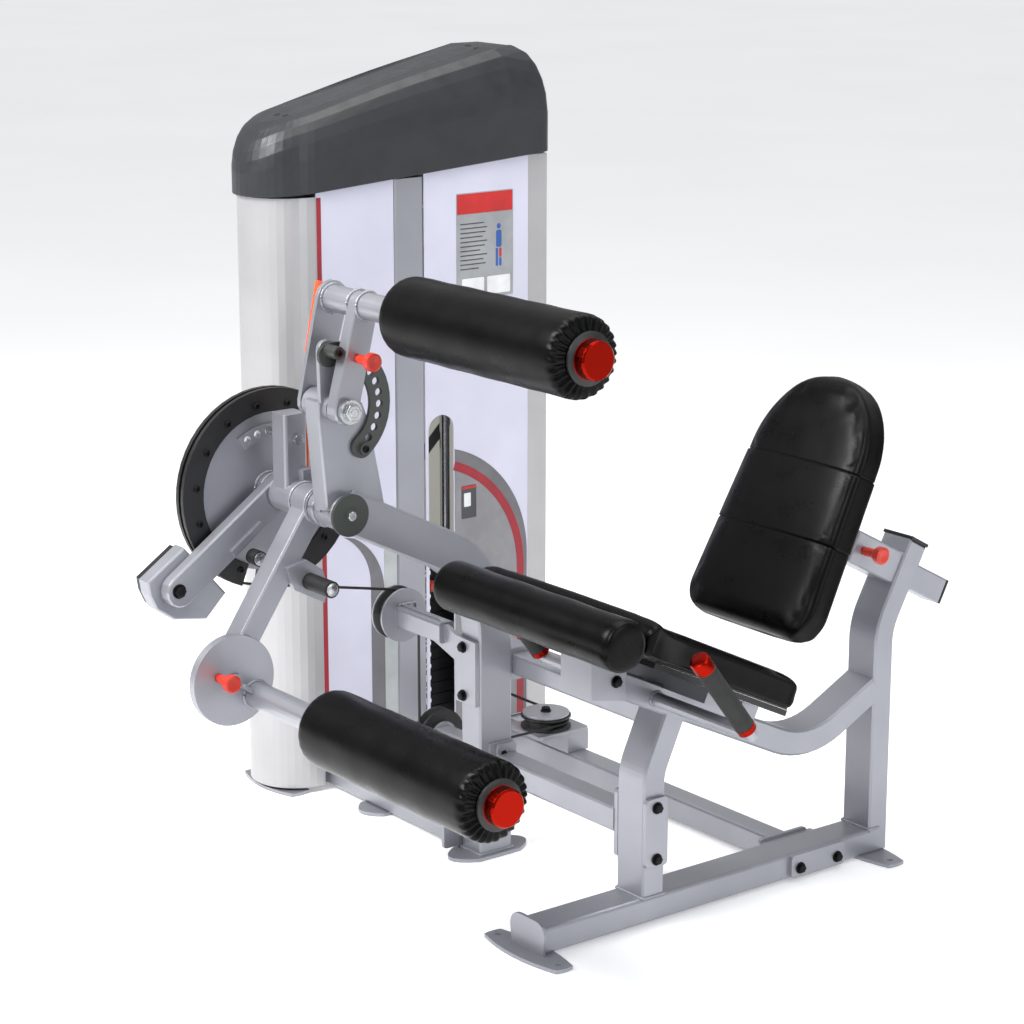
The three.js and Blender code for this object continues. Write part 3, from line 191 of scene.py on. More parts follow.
def metal(name, color, roughness, edge=0.0008, turned=(1, 1, 1)):
    s = Shader(name, color, roughness, 1.0)
    s.bevel(edge)
    s.ramp(s.noise(260.0, 3.0, 0.6, turned), [(0.3, grey(roughness - 0.06)), (0.7, grey(roughness + 0.1))],
           "Roughness")
    s.bump(s.noise(700.0, 2.0, 0.5, turned), 0.06, 0.0003)
    return s.material


def vinyl(name, folds=0.25):
    """Upholstery vinyl: fine leather grain over slow, shallow folds."""
    s = Shader(name, srgb(6, 6, 6), 0.32, Specular_IOR_Level=0.12)
    s.ramp(s.noise(4.0, 3.0), [(0.35, srgb(4, 4, 4)), (0.7, srgb(9, 8, 8))], "Base Color")
    s.ramp(s.noise(18.0, 5.0), [(0.3, grey(0.24)), (0.7, grey(0.36))], "Roughness")
    s.bump(s.noise(7.0, 2.0), folds, 0.006)
    s.bump(s.cells(620.0), 0.22, 0.0005)
    s.bump(s.noise(1500.0, 2.0), 0.12, 0.0003)
    return s.material


SILVER = srgb(158, 159, 166)
MATERIALS = {
    "frame_paint": coated("silver powder coat", SILVER, 0.36, 0.6, peel=0.1, coat=0.2),
    "panel_white": coated("white powder coat", srgb(212, 212, 228), 0.34, 0.0),
    "cap_charcoal": moulded("charcoal plastic", srgb(38, 40, 43), 0.4, 0.35, 0.004),
    "vinyl_black": vinyl("black vinyl"),
    "black_plastic": moulded("black nylon", srgb(20, 20, 21), 0.42),
    "rubber_black": moulded("black rubber", srgb(18, 18, 18), 0.6, 0.3),
    "dark_steel": coated("dark grey coat", srgb(78, 82, 79), 0.38, 0.6),
    "red_plastic": moulded("red plastic", srgb(200, 52, 36), 0.34, 0.05),
    "red_anodised": metal("red anodised", srgb(150, 22, 10), 0.2, 0.0012, (1, 40, 40)),
    "orange_grip": moulded("orange dip", srgb(232, 84, 36), 0.4, 0.1),
    "bright_steel": metal("bright steel", srgb(200, 202, 204), 0.2),
    "stack_iron": coated("black stack coat", srgb(26, 26, 28), 0.48, 0.2, 0.001, 0.3),
    "cable_black": moulded("cable jacket", srgb(22, 22, 24), 0.4, 0.0, 0.0005),
}
EXTRA = {
    "oxide": metal("black oxide", srgb(40, 40, 42), 0.4, 0.0008),
    "zinc": metal("zinc plate", srgb(186, 188, 190), 0.26, 0.0008),
    "weld": coated("painted weld", SILVER, 0.34, 0.45, 0.0004, 0.3),
    "red_stripe": moulded("red trim", srgb(156, 30, 44), 0.42, 0.02),
    "dark_band": moulded("grey print", srgb(112, 110, 114), 0.4, 0.02),
    "light_band": moulded("pale grey print", srgb(178, 182, 182), 0.4, 0.02),
    "mid_band": moulded("mid grey print", srgb(140, 138, 142), 0.4, 0.02),
    "label_white": moulded("label white", srgb(232, 232, 232), 0.4, 0.02),
    "label_grey": moulded("label grey", srgb(158, 160, 162), 0.4, 0.02),
    "label_red": moulded("label red", srgb(198, 36, 34), 0.4, 0.02),
    "label_dark": moulded("label dark", srgb(66, 68, 72), 0.4, 0.02),
    "label_blue": moulded("label blue", srgb(46, 92, 168), 0.4, 0.02),
    # Painted shade: the colour of the dark discs drawn for the screw holes in the tower cap.
    "hole_shade": moulded("dark recess", srgb(14, 14, 15), 0.7, 0.02),
    "black_plastic": MATERIALS["black_plastic"],
}
# Painted light: the tower column and rear channel wear the frame's silver paint, here in a lighter copy that
# stands in for the light on them.
MATERIALS["tower_silver_lit"] = coated("tower silver", srgb(182, 181, 182), 0.34, 0.5)
SLOT_OF = {part["node"]: part["material_slot"] for part in frame["record"]["subparts"]}
for node_name, node in frame["nodes"].items():
    node.data.materials.clear()
    finish = "tower_silver_lit" if node_name in ("tower_column", "tower_rear_channel") else SLOT_OF[node_name]
    node.data.materials.append(MATERIALS[finish])


# ---------------------------------------------------------------- pieces
def piece(name, verts, faces, material, body, slot=None, smooth=True, angle=40):
    """A mesh piece from points in metres, riding on one body."""
    mesh = bpy.data.meshes.new(name)
    mesh.from_pydata([tuple(v) for v in verts], [], faces)
    mesh.validate()
    obj = bpy.data.objects.new(name, mesh)
    bpy.context.scene.collection.objects.link(obj)
    mesh.materials.append(material)
    if smooth:
        for polygon in mesh.polygons:
            polygon.use_smooth = True
        mesh.set_sharp_from_angle(angle=math.radians(angle))
    if body:
        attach(obj, body)
    return obj


def frame_of(direction):
    """Two unit vectors across a direction, and the direction itself."""
    w = Vector(direction).normalized()
    u = w.orthogonal().normalized() if abs(w.z) > 0.99 else Vector((0, 0, 1)).cross(w).normalized()
    return u, w.cross(u), w


def turned(start, direction, profile, segments=32, phase=0.0):
    """Points and faces of a lathed solid: profile holds (distance along, radius) in millimetres."""
    u, v, w = frame_of(direction)
    verts, faces = [], []
    for along, radius in profile:
        for k in range(segments):
            a = phase + 2 * math.pi * k / segments
            verts.append(start + (w * along + (u * math.cos(a) + v * math.sin(a)) * radius) / 1000)
    for i in range(len(profile) - 1):
        for k in range(segments):
            n = (k + 1) % segments
            faces.append((i * segments + k, i * segments + n, (i + 1) * segments + n, (i + 1) * segments + k))
    faces.append(tuple(reversed(range(segments))))
    last = (len(profile) - 1) * segments
    faces.append(tuple(range(last, last + segments)))
    return verts, faces


def merge(parts):
    verts, faces = [], []
    for v, f in parts:
        base = len(verts)
        verts += v
        faces += [tuple(i + base for i in face) for face in f]
    return verts, faces


def bolt(name, point, direction, body, head=9.0, height=7.0, washer=11.5, material="oxide"):
    """Hexagon head with a chamfer on a washer."""
    plate = turned(point, direction, [(0, washer), (1.6, washer), (2.0, washer - 0.6), (2.0, 1.0)], 28)
    sides = [(1.8, head), (1.8 + height * 0.85, head), (1.8 + height, head * 0.86)]
    hexagon = turned(point, direction, sides, 6)
    core = turned(point, direction, [(1.8 + height * 0.9, head * 0.55), (2.6 + height, head * 0.45)], 20)
    return piece(name, *merge([plate, hexagon, core]), EXTRA[material], body, angle=30)


def socket_screw(name, point, direction, body, radius=6.0, height=4.0, material="oxide"):
    """Round head with a hexagon recess."""
    head = turned(point, direction, [(0, radius), (height * 0.6, radius), (height, radius * 0.8),
                                     (height, radius * 0.5), (height * 0.3, radius * 0.45)], 24)
    return piece(name, *head, EXTRA[material], body, angle=35)


def bead(name, path, radius, body, closed=True, pitch=4.0):
    """Weld bead: a rippled tube along a path given in the machine's millimetres."""
    points = [Vector(p) for p in path]
    if closed:
        points.append(points[0])
    line = []
    for a, b in zip(points, points[1:]):
        steps = max(1, int((b - a).length / (pitch / 2.5)))
        line += [a.lerp(b, k / steps) for k in range(steps)]
    if not closed:
        line.append(points[-1])
    verts, faces, sides = [], [], 7
    travelled = 0.0
    for i, p in enumerate(line):
        before = line[i - 1] if (closed or i > 0) else p
        after = line[(i + 1) % len(line)] if (closed or i < len(line) - 1) else p
        travelled += (p - before).length if i else 0.0
        u, v, _ = frame_of((after - before).normalized())
        r = radius * (1 + 0.2 * math.sin(2 * math.pi * travelled / pitch) + 0.1 * math.sin(travelled * 0.9))
        for k in range(sides):
            a = 2 * math.pi * k / sides
            verts.append(at(*(p + (u * math.cos(a) + v * math.sin(a)) * r)))
    count = len(line)
    for i in range(count if closed else count - 1):
        for k in range(sides):
            n = (k + 1) % sides
            j = (i + 1) % count
            faces.append((i * sides + k, i * sides + n, j * sides + n, j * sides + k))
    return piece(name, verts, faces, EXTRA["weld"], body, "frame_paint", angle=80)


def loop_x(x, centre, radius, count=40):
    return [(x, centre[0] + radius * math.cos(2 * math.pi * k / count),
             centre[1] + radius * math.sin(2 * math.pi * k / count)) for k in range(count)]


def loft(rings, closed_ends=True):
    """Points and faces of a skin through equal rings, with a fan at each end."""
    count = len(rings[0])
    verts = [p for ring in rings for p in ring]
    faces = []
    for i in range(len(rings) - 1):
        for k in range(count):
            n = (k + 1) % count
            faces.append((i * count + k, i * count + n, (i + 1) * count + n, (i + 1) * count + k))
    if closed_ends:
        for base, ring, flip in ((0, rings[0], True), ((len(rings) - 1) * count, rings[-1], False)):
            verts.append(sum(ring, Vector()) / count)
            tip = len(verts) - 1
            for k in range(count):
                n = (k + 1) % count
                faces.append((tip, base + n, base + k) if flip else (tip, base + k, base + n))
    return verts, faces


def block(centre, half, axes=None):
    """Plain box, centre in the machine's millimetres, with half sizes along three axes."""
    axes = axes or (Vector((1, 0, 0)), Vector((0, 1, 0)), Vector((0, 0, 1)))
    c = Vector(centre)
    verts = []
    for sx in (-1, 1):
        for sy in (-1, 1):
            for sz in (-1, 1):
                corner = c + axes[0] * half[0] * sx + axes[1] * half[1] * sy + axes[2] * half[2] * sz
                verts.append(at(*corner))
    faces = [(0, 1, 3, 2), (4, 6, 7, 5), (0, 4, 5, 1), (2, 3, 7, 6), (0, 2, 6, 4), (1, 5, 7, 3)]
    return verts, faces


def sheet_x(x, outline, thickness=0.5):
    """Thin flat shape facing +X, outline in (y, z) counter-clockwise seen from +X."""
    count = len(outline)
    verts = [at(x, y, z) for y, z in outline] + [at(x + thickness, y, z) for y, z in outline]
    faces = [tuple(reversed(range(count))), tuple(range(count, 2 * count))]
    for k in range(count):
        n = (k + 1) % count
        faces.append((k, n, n + count, k + count))
    return verts, faces


def rect(y0, y1, z0, z1, r=0.0, steps=5):
    if r <= 0:
        return [(y0, z0), (y1, z0), (y1, z1), (y0, z1)]
    out = []
    corners = ((y1 - r, z0 + r, -90), (y1 - r, z1 - r, 0), (y0 + r, z1 - r, 90), (y0 + r, z0 + r, 180))
    for cy, cz, start in corners:
        for k in range(steps + 1):
            a = math.radians(start + 90 * k / steps)
            out.append((cy + r * math.cos(a), cz + r * math.sin(a)))
    return out


# ---------------------------------------------------------------- upholstery
BACK_TILT = math.radians(28)
UP = Vector((0, math.sin(BACK_TILT), math.cos(BACK_TILT)))
FRONT = Vector((0, -math.cos(BACK_TILT), math.sin(BACK_TILT)))
SEAT_TILT = math.radians(25.6)
SIDE = Vector((1, 0, 0))
SEAT_ALONG = Vector((0, math.cos(SEAT_TILT), -math.sin(SEAT_TILT)))
SEAT_RISE = Vector((0, math.sin(SEAT_TILT), math.cos(SEAT_TILT)))


def rounded_end(distance, radius):
    d = min(max(distance / radius, 0.0), 1.0)
    return math.sqrt(max(0.0, 1 - (1 - d) ** 2))


def hill(x, width):
    return math.exp(-(x / width) ** 2)


def step(x, width):
    t = min(max(x / width + 0.5, 0.0), 1.0)
    return t * t * (3 - 2 * t)


def cushion_ring(half_w, front, back, crown, power, seams, count=96):
    """Cross-section of a cushion: (across, depth) points of a rounded box with a crowned front."""
    points = []
    for k in range(count):
        a = 2 * math.pi * k / count
        c, s = math.cos(a), math.sin(a)
        x = half_w * math.copysign(abs(c) ** (2 / power), c)
        n = (front if s > 0 else back) * math.copysign(abs(s) ** (2 / power), s)
        if s > 0 and half_w > 0:
            n += crown * (1 - (x / half_w) ** 2) * min(1.0, front / 12)
        pinch = sum(depth * hill(math.atan2(s, abs(c)) - angle, 0.035) for angle, depth in seams)
        length = math.hypot(x, n) or 1.0
        points.append((x * (1 - pinch / length), n * (1 - pinch / length)))
    return points


def levels(low, high, fine, step_size=7.0):
    """Stations from low to high, closer together near the places in fine."""
    marks = set()
    x = low
    while x < high:
        marks.add(round(x, 3))
        near = min([abs(x - f) for f in fine] or [1e9])
        x += 0.9 if near < 6 else step_size if near > 22 else 2.5
    marks.add(high)
    return sorted(marks)


def relax(obj, held, voxel=0.006, pressure=4.0, frames=20, cap=0.004):
    """Lets the cover settle: a voxel copy is inflated as cloth, and the shift it takes, limited to cap, is
    passed on to the cushion. held tells which points stay on the board."""
    scene = bpy.context.scene
    copy = bpy.data.objects.new(obj.name + "_cover", obj.data.copy())
    scene.collection.objects.link(copy)
    remesh = copy.modifiers.new("remesh", "REMESH")
    remesh.mode = "VOXEL"
    remesh.voxel_size = voxel
    bpy.context.view_layer.update()
    shaped = copy.evaluated_get(bpy.context.evaluated_depsgraph_get())
    copy.data = bpy.data.meshes.new_from_object(shaped)
    copy.modifiers.clear()
    group = copy.vertex_groups.new(name="held")
    group.add([v.index for v in copy.data.vertices if held(v.co)], 1.0, "REPLACE")
    cloth = copy.modifiers.new("cloth", "CLOTH")
    settings = cloth.settings
    settings.quality = 5
    settings.mass = 0.4
    settings.tension_stiffness = 25
    settings.compression_stiffness = 8
    settings.shear_stiffness = 6
    settings.bending_stiffness = 0.4
    settings.use_pressure = True
    settings.uniform_pressure_force = pressure
    settings.effector_weights.gravity = 0
    settings.vertex_group_mass = "held"
    cloth.collision_settings.use_collision = False
    cloth.point_cache.frame_start = 1
    cloth.point_cache.frame_end = frames
    before = [v.co.copy() for v in copy.data.vertices]
    for f in range(1, frames + 1):
        scene.frame_set(f)
    settled = copy.evaluated_get(bpy.context.evaluated_depsgraph_get())
    after = [v.co.copy() for v in settled.data.vertices]
    scene.frame_set(1)
    tree = KDTree(len(before))
    for k, co in enumerate(before):
        tree.insert(co, k)
    tree.balance()
    for v in obj.data.vertices:
        shift, total = Vector(), 0.0
        for co, k, gap in tree.find_n(v.co, 5):
            weight = 1 / (gap + 0.002)
            shift += (after[k] - before[k]) * weight
            total += weight
        shift /= total
        if shift.length > cap:
            shift *= cap / shift.length
        v.co += shift
    bpy.data.objects.remove(copy)


def upholster(node):
    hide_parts(node)


# Back pad: tombstone outline, crowned, with a band wrapped round its middle.
BACK_LOW, BACK_HIGH = 745.5, 1252.0
BAND = (932.7, 1074.2)


def back_half_width(s):
    if s < 806:
        return 112 + 58 * rounded_end(s - BACK_LOW + 1, 62)
    if s < 1082:
        return 170 - 16 * (s - 806) / 276
    return max(2.0, 154 * math.sqrt(max(0.0, 1 - ((s - 1082) / (BACK_HIGH - 1081.9)) ** 2)))


def back_pad():
    centre_n = -263.3 - 33
    rings = []
    fine = [BACK_LOW, BACK_HIGH, *BAND]
    for s in levels(BACK_LOW, BACK_HIGH, fine):
        end = rounded_end(s - BACK_LOW + 0.4, 24) * rounded_end(BACK_HIGH - s + 0.4, 30)
        groove = 1.9 * sum(hill(s - b, 1.6) for b in BAND)
        band = 1.3 * step(s - BAND[0], 2.0) * step(BAND[1] - s, 2.0)
        half = back_half_width(s) + band - groove
        depth = 28 * end + band - groove
        ring = cushion_ring(half, depth, 30 * end + band - groove, 6.5 * end, 7.0,
                            ((0.93, 0.0), (0.62, 1.5), (-0.66, 1.6)))
        rings.append([at(*(UP * s + FRONT * (centre_n + n) + Vector((x, 0, 0)))) for x, n in ring])
    return piece("back_cushion", *loft(rings), MATERIALS["vinyl_black"], None, angle=75)


def seat_pad():
    low, high = -346.0, 63.0  # along the seat, from under the roll to the back edge
    bottom, top = 61.0, 116.5  # above the rail's axis
    rings = []
    for s in levels(low, high, [low, high], 9.0):
        end = rounded_end(s - low + 0.4, 18) * rounded_end(high - s + 0.4, 16)
        rise = 9 * step((-285 - s) / 60 - 0.5, 1.0)
        flare = 14 * step((-230 - s) / 90 - 0.5, 1.0)
        half = (top + rise - bottom) / 2
        centre_n = bottom + half
        ring = cushion_ring(235 + flare - 7 * (1 - end), (half - 2) * end, half * end, 4.0 * end, 13.0,
                            ((0.9, 0.0), (0.5, 1.5), (-0.5, 1.4)), 128)
        station = SEAT_ORIGIN + SEAT_ALONG * s + SIDE * -10
        rings.append([at(*(station + SEAT_RISE * (centre_n + n) + SIDE * x)) for x, n in ring])
    return piece("seat_cushion", *loft(rings), MATERIALS["vinyl_black"], None, angle=75)


def round_rings(centre, profile, count=144, pleats=0, depth=0.0):
    """Rings of a padded cylinder along X: profile lists (x, radius, pleat share)."""
    rings = []
    for x, radius, share in profile:
        ring = []
        for k in range(count):
            a = 2 * math.pi * k / count
            fold = 0.0
            if pleats and share:
                wave = math.cos(pleats * a + 0.9 * math.sin(3 * a) + 0.5 * math.sin(7 * a))
                fold = depth * share * (abs(wave) ** 0.7 * math.copysign(1, wave) - 0.2)
            r = radius + fold * 0.55
            ring.append(at(x + fold * 0.8, centre[0] + r * math.cos(a), centre[1] + r * math.sin(a)))
        rings.append(ring)
    return rings


def roller(name, body):
    """Foam roller with its cover gathered into pleats round each end."""
    node = f"{name}_pad"
    x0, x1 = span(node, "x")
    radius = (span(node, "z")[1] - span(node, "z")[0]) / 2
    centre = (middle(node, "y"), middle(node, "z"))
    end = [(0.0, 40.0, 0.15), (-1.5, 43.0, 0.5), (1.2, 48.0, 0.9), (2.6, 53.0, 1.0), (3.4, 58.0, 1.0),
           (4.4, 62.5, 0.9), (6.8, 66.6, 0.7), (10.5, 69.6, 0.4), (16.0, 71.4, 0.15), (24.0, radius, 0.0)]
    left = [(x0 + d, r, share) for d, r, share in end]
    right = [(x1 - d, r, share) for d, r, share in reversed(end)]
    body_part = [(x0 + 24 + (x1 - x0 - 48) * k / 14,
                  radius + 0.5 * math.sin(k * 1.9) - 0.4, 0.0) for k in range(1, 14)]
    rings = round_rings(centre, left + body_part + right, 156, 26, 3.4)
    obj = piece(f"{name}_cushion", *loft(rings), MATERIALS["vinyl_black"], body, angle=75)
    upholster(node)
    ring = turned(at(x1 + 2.6, *centre), (1, 0, 0), [(0, 45.6), (4.6, 45.6), (5.6, 44.2)], 48)
    piece(f"{name}_end_washer", *ring, EXTRA["black_plastic"], body, "black_plastic")
    return obj


def seat_roll():
    x0, x1 = span("seat_roll", "x")
    radius = (span("seat_roll", "z")[1] - span("seat_roll", "z")[0]) / 2
    centre = (middle("seat_roll", "y"), middle("seat_roll", "z"))
    end = [(-0.5, 6.0, 0), (-0.8, 20.0, 0), (-0.2, 33.0, 0), (1.4, 39.0, 0), (3.6, 42.5, 0), (5.0, 43.2, 0),
           (6.2, 43.4, 0), (8.4, 45.4, 0), (13.0, 47.0, 0), (22.0, radius, 0)]
    left = [(x0 + d, r, s) for d, r, s in end]
    right = [(x1 - d, r, s) for d, r, s in reversed(end)]
    mid = [(x0 + 22 + (x1 - x0 - 44) * k / 16, radius + 0.6 * math.sin(k * 1.3) - 0.5, 0)
           for k in range(1, 16)]
    obj = piece("seat_roll_cushion", *loft(round_rings(centre, left + mid + right, 96)),
                MATERIALS["vinyl_black"], "frame", angle=75)
    upholster("seat_roll")


back = back_pad()
seat = seat_pad()
back_plane = at(*(FRONT * -318)).dot(FRONT)
seat_plane = at(*(SEAT_ORIGIN + SEAT_RISE * 68)).dot(SEAT_RISE)
relax(back, lambda co: co.dot(FRONT) < back_plane)
relax(seat, lambda co: co.dot(SEAT_RISE) < seat_plane)
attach(back, "backrest")
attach(seat, "frame")
upholster("back_pad")
upholster("seat_pad")
roller("shin", "shin_roll")
roller("thigh", "thigh_roll")
seat_roll()

# Dark strip between the cushion and its board.
seat_base = SEAT_ORIGIN + SIDE * -10 + SEAT_ALONG * -142 + SEAT_RISE * 64.5
piece("seat_cushion_base", *block(seat_base, (226, 196, 5), (SIDE, SEAT_ALONG, SEAT_RISE)),
      EXTRA["black_plastic"], "frame", "black_plastic", False)

# ---------------------------------------------------------------- caps and small fittings
SLIDE = Vector((0, math.cos(BACK_TILT), -math.sin(BACK_TILT)))
SLIDE_END = Vector((0, 1116, 507))
ACROSS = Vector((0, math.sin(BACK_TILT), math.cos(BACK_TILT)))
piece("slide_end_cap", *block(SLIDE_END + SLIDE * 2.2, (24.6, 2.2, 24.6), (SIDE, SLIDE, ACROSS)),
      EXTRA["black_plastic"], "backrest", "black_plastic", False)
post_top = Vector((0, 1030, 622))
post_way = (post_top - Vector((0, 944, 465))).normalized()
post_side = SIDE.cross(post_way)
piece("post_top_cap", *block(post_top + post_way * 3.2, (38.5, 3.2, 25.5), (SIDE, post_way, post_side)),
      EXTRA["black_plastic"], "frame", "black_plastic", False)

HANDLE_LEAN = Vector((0, -0.61, 0.792)).normalized()
for side, label in ((1, "left"), (-1, "right")):
    elbow = Vector((290 * side, 362, 438))
    top = elbow + HANDLE_LEAN * 176
    cap = turned(at(*top), HANDLE_LEAN, [(0, 15), (1, 19), (24, 19), (27, 17), (28, 12)], 36)
    piece(f"handle_cap_{label}", *cap, MATERIALS["red_anodised"], "frame", "red_anodised")
    low = elbow + HANDLE_LEAN * 14
    collar = turned(at(*low), HANDLE_LEAN, [(0, 15), (0.8, 18.5), (12.4, 18.5), (13, 15)], 36)
    piece(f"handle_collar_{label}", *collar, MATERIALS["red_anodised"], "frame", "red_anodised")

bolts = [
    ("post_plate_bolt_low", (46, 361, 131), (1, 0, 0), "frame"),
    ("post_plate_bolt_high", (46, 361, 231), (1, 0, 0), "frame"),
    ("base_plate_bolt_front", (46, 727, 26), (1, 0, 0), "frame"),
    ("base_plate_bolt_rear", (46, 825, 26), (1, 0, 0), "frame"),
    ("idler_plate_bolt_high", (-461, 295, 428), (0, -1, 0), "frame"),
    ("idler_plate_bolt_low", (-461, 295, 330), (0, -1, 0), "frame"),
    ("idler_axle_bolt", (-669, 304, 443), (1, 0, 0), "frame"),
    ("post_pulley_bolt", (-667, 400, 169), (1, 0, 0), "frame"),
    ("floor_pulley_bolt", (-735, 718, 141), (0, 0, 1), "frame"),
    ("main_post_bolt", (-413, 353, 164), (1, 0, 0), "frame"),
    ("main_post_bolt_high", (-413, 353, 212), (1, 0, 0), "frame"),
    ("seat_bracket_bolt_front", (44, 262, 492), (1, 0, 0), "frame"),
]
for name, place, way, body in bolts:
    bolt(name, at(*place), way, body)
bolt("weight_arm_bolt", at(-636, *WEIGHT_CENTRE), (1, 0, 0), "cam", 11, 8, 14)
bolt("thigh_pivot_nut", at(-370, *THIGH_PIVOT), (1, 0, 0), "thigh", 17, 10, 23, "zinc")
socket_screw("hub_screw", at(-401, 0, AXIS_Z), (1, 0, 0), "frame", 9, 4, "zinc")
for k, angle in enumerate(range(-92, 250, 24)):
    a = math.radians(angle)
    place = at(span("cam_rim", "x")[1], 166 * math.cos(a), AXIS_Z + 166 * math.sin(a))
    socket_screw(f"rim_screw_{k:02d}", place, (1, 0, 0), "cam", 6.5, 4)
for k, (angle, reach, x) in enumerate(zip(STOP_ANGLES, (108, 104), (-386, -413))):
    a = math.radians(angle)
    place = at(x, THIGH_PIVOT[0] + reach * math.cos(a), THIGH_PIVOT[1] + reach * math.sin(a))
    socket_screw(f"index_stop_screw_{k}", place, (1, 0, 0), "frame", 7, 3.5)

for name, node, body in (("bumper_arm_face", "bumper_arm", "leg"), ("bumper_cam_face", "bumper_cam", "cam")):
    face = turned(at(span(node, "x")[1], middle(node, "y"), middle(node, "z")), (1, 0, 0),
                  [(0, 12.5), (1.2, 12.5), (2.0, 11.5)], 32)
    piece(name, *face, EXTRA["zinc"], body)

# ---------------------------------------------------------------- welds
def box_loop(x0, x1, y0, y1, z):
    return [(x0, y0, z), (x1, y0, z), (x1, y1, z), (x0, y1, z)]


bead("weld_front_post", box_loop(-38, 38, 335, 387, 56.5), 3.0, "frame")
bead("weld_rear_post", box_loop(-38, 38, 919, 944, 56.5), 3.0, "frame")
front_edge = [(38, 100.5, 8), (38, 100.5, 54), (-38, 100.5, 54), (-38, 100.5, 8)]
bead("weld_front_plate", front_edge, 3.0, "frame", False)
bead("weld_main_foot", box_loop(-481, -419, 305, 384, 8), 3.2, "frame")
bead("weld_hub_far", loop_x(-481, (0, AXIS_Z), 33.5), 3.2, "frame")
bead("weld_hub_near", loop_x(-419, (0, AXIS_Z), 33.5), 3.2, "frame")
bead("weld_leg_sleeve", loop_x(-560, (0, AXIS_Z), 33.5), 3.0, "leg")
bead("weld_leg_sleeve_near", loop_x(-510, (0, AXIS_Z), 33.5), 3.0, "leg")
bead("weld_weight_arm", loop_x(-664, (0, AXIS_Z), 31), 3.0, "cam")
bead("weld_cam_sleeve", loop_x(-683, (0, AXIS_Z), 31), 3.2, "cam")
bead("weld_thigh_tube_far", loop_x(-494, THIGH_TUBE, 26), 3.0, "thigh")
bead("weld_thigh_tube_mid", loop_x(-412, THIGH_TUBE, 26), 3.0, "thigh")
bead("weld_thigh_tube_near", loop_x(-382, THIGH_TUBE, 26), 3.0, "thigh")
shin_tube = (-202.4 + 46, 447.9 - 35)
bead("weld_shin_tube", loop_x(-496, shin_tube, 26), 3.2, "shin")
for side, label in ((1, "left"), (-1, "right")):
    bead(f"weld_handle_{label}", loop_x(38.5 * side, (362, 438), 14.5, 28), 2.4, "frame")
bead("weld_idler_arm", [(-668, 290, 420), (-668, 290, 466), (-668, 332, 466), (-668, 332, 420)], 2.8, "frame")
bead("weld_boom_top", [(-428, -50, 760), (-428, 95, 742)], 3.0, "frame", False)
bead("weld_boom_top_far", [(-473, -50, 760), (-473, 95, 742)], 3.0, "frame", False)

# ---------------------------------------------------------------- cable inside the rim
def tangent_cable():
    """The stretch that leaves the cam's groove on its way to the idler."""
    idler = Vector((0, middle("idler_pulley", "y"), middle("idler_pulley", "z")))
    hub = Vector((0, 0, AXIS_Z))
    apart = idler - hub
    tilt = math.acos((CAM_PITCH_R + IDLER_PITCH_R) / apart.length) - math.atan2(apart.y, -apart.z)
    down = -math.pi / 2 - tilt
    leave = Vector((CABLE_X, CAM_PITCH_R * math.cos(down), AXIS_Z + CAM_PITCH_R * math.sin(down)))
    way = Vector((0, math.cos(tilt), -math.sin(tilt)))
    piece("cable_in_groove", *turned(at(*(leave - way * 4)), way, [(0, 3), (55, 3)], 12),
          MATERIALS["cable_black"], "frame", "cable_black")


tangent_cable()

# ---------------------------------------------------------------- tower artwork
PANEL_X = span("panel_front", "x")[1] + 0.05


def print_on(name, outline, colour, lift=0.0, body="frame"):
    verts, faces = sheet_x(PANEL_X + lift, outline, 0.4)
    return piece(name, verts, faces, EXTRA[colour], body, smooth=False)


print_on("trim_red_line", rect(286, 297, 67, 1252), "red_stripe")


def arch_band(name, centre, radius, width, low, colour, lift, start=90, end=0):
    """A stripe that runs round an arc and then straight down."""
    outer, inner = [], []
    for k in range(25):
        a = math.radians(start + (end - start) * k / 24)
        outer.append((centre[0] + radius * math.cos(a), centre[1] + radius * math.sin(a)))
        inner.append((centre[0] + (radius - width) * math.cos(a), centre[1] + (radius - width) * math.sin(a)))
    outer.append((centre[0] + radius, low))
    inner.append((centre[0] + radius - width, low))
    print_on(name, list(reversed(outer)) + inner, colour, lift)


def arch_fill(name, centre, radius, low, edge, colour, lift, start=90):
    points = [(edge, low), (centre[0] + radius, low)]
    for k in range(25):
        a = math.radians(start * k / 24)
        points.append((centre[0] + radius * math.cos(a), centre[1] + radius * math.sin(a)))
    points.append((edge, points[-1][1]))
    print_on(name, points, colour, lift)


arch_fill("art_rear_field", (556, 435), 265, 68, 627, "dark_band", 0.0, 74)
arch_band("art_rear_red", (539.5, 405), 273, 19, 68, "red_stripe", 0.45, 71)
arch_fill("art_rear_inner", (539.5, 405), 254, 68, 627, "mid_band", 0.3, 69)


def leaning_band(name, outer, inner, low, colour, start):
    """A stripe between two arcs of different centres that both run straight down to low."""
    points = [(inner[0] + inner[2], low), (outer[0] + outer[2], low)]
    for k in range(21):
        a = math.radians(start * k / 20)
        points.append((outer[0] + outer[2] * math.cos(a), outer[1] + outer[2] * math.sin(a)))
    for k in range(20, -1, -1):
        a = math.radians(start * k / 20)
        points.append((inner[0] + inner[2] * math.cos(a), inner[1] + inner[2] * math.sin(a)))
    print_on(name, points, colour)


leaning_band("art_front_band", (301, 412, 140), (280, 430, 127), 68, "dark_band", 62)
print_on("art_front_field", rect(441.3, 474, 68, 500), "light_band")
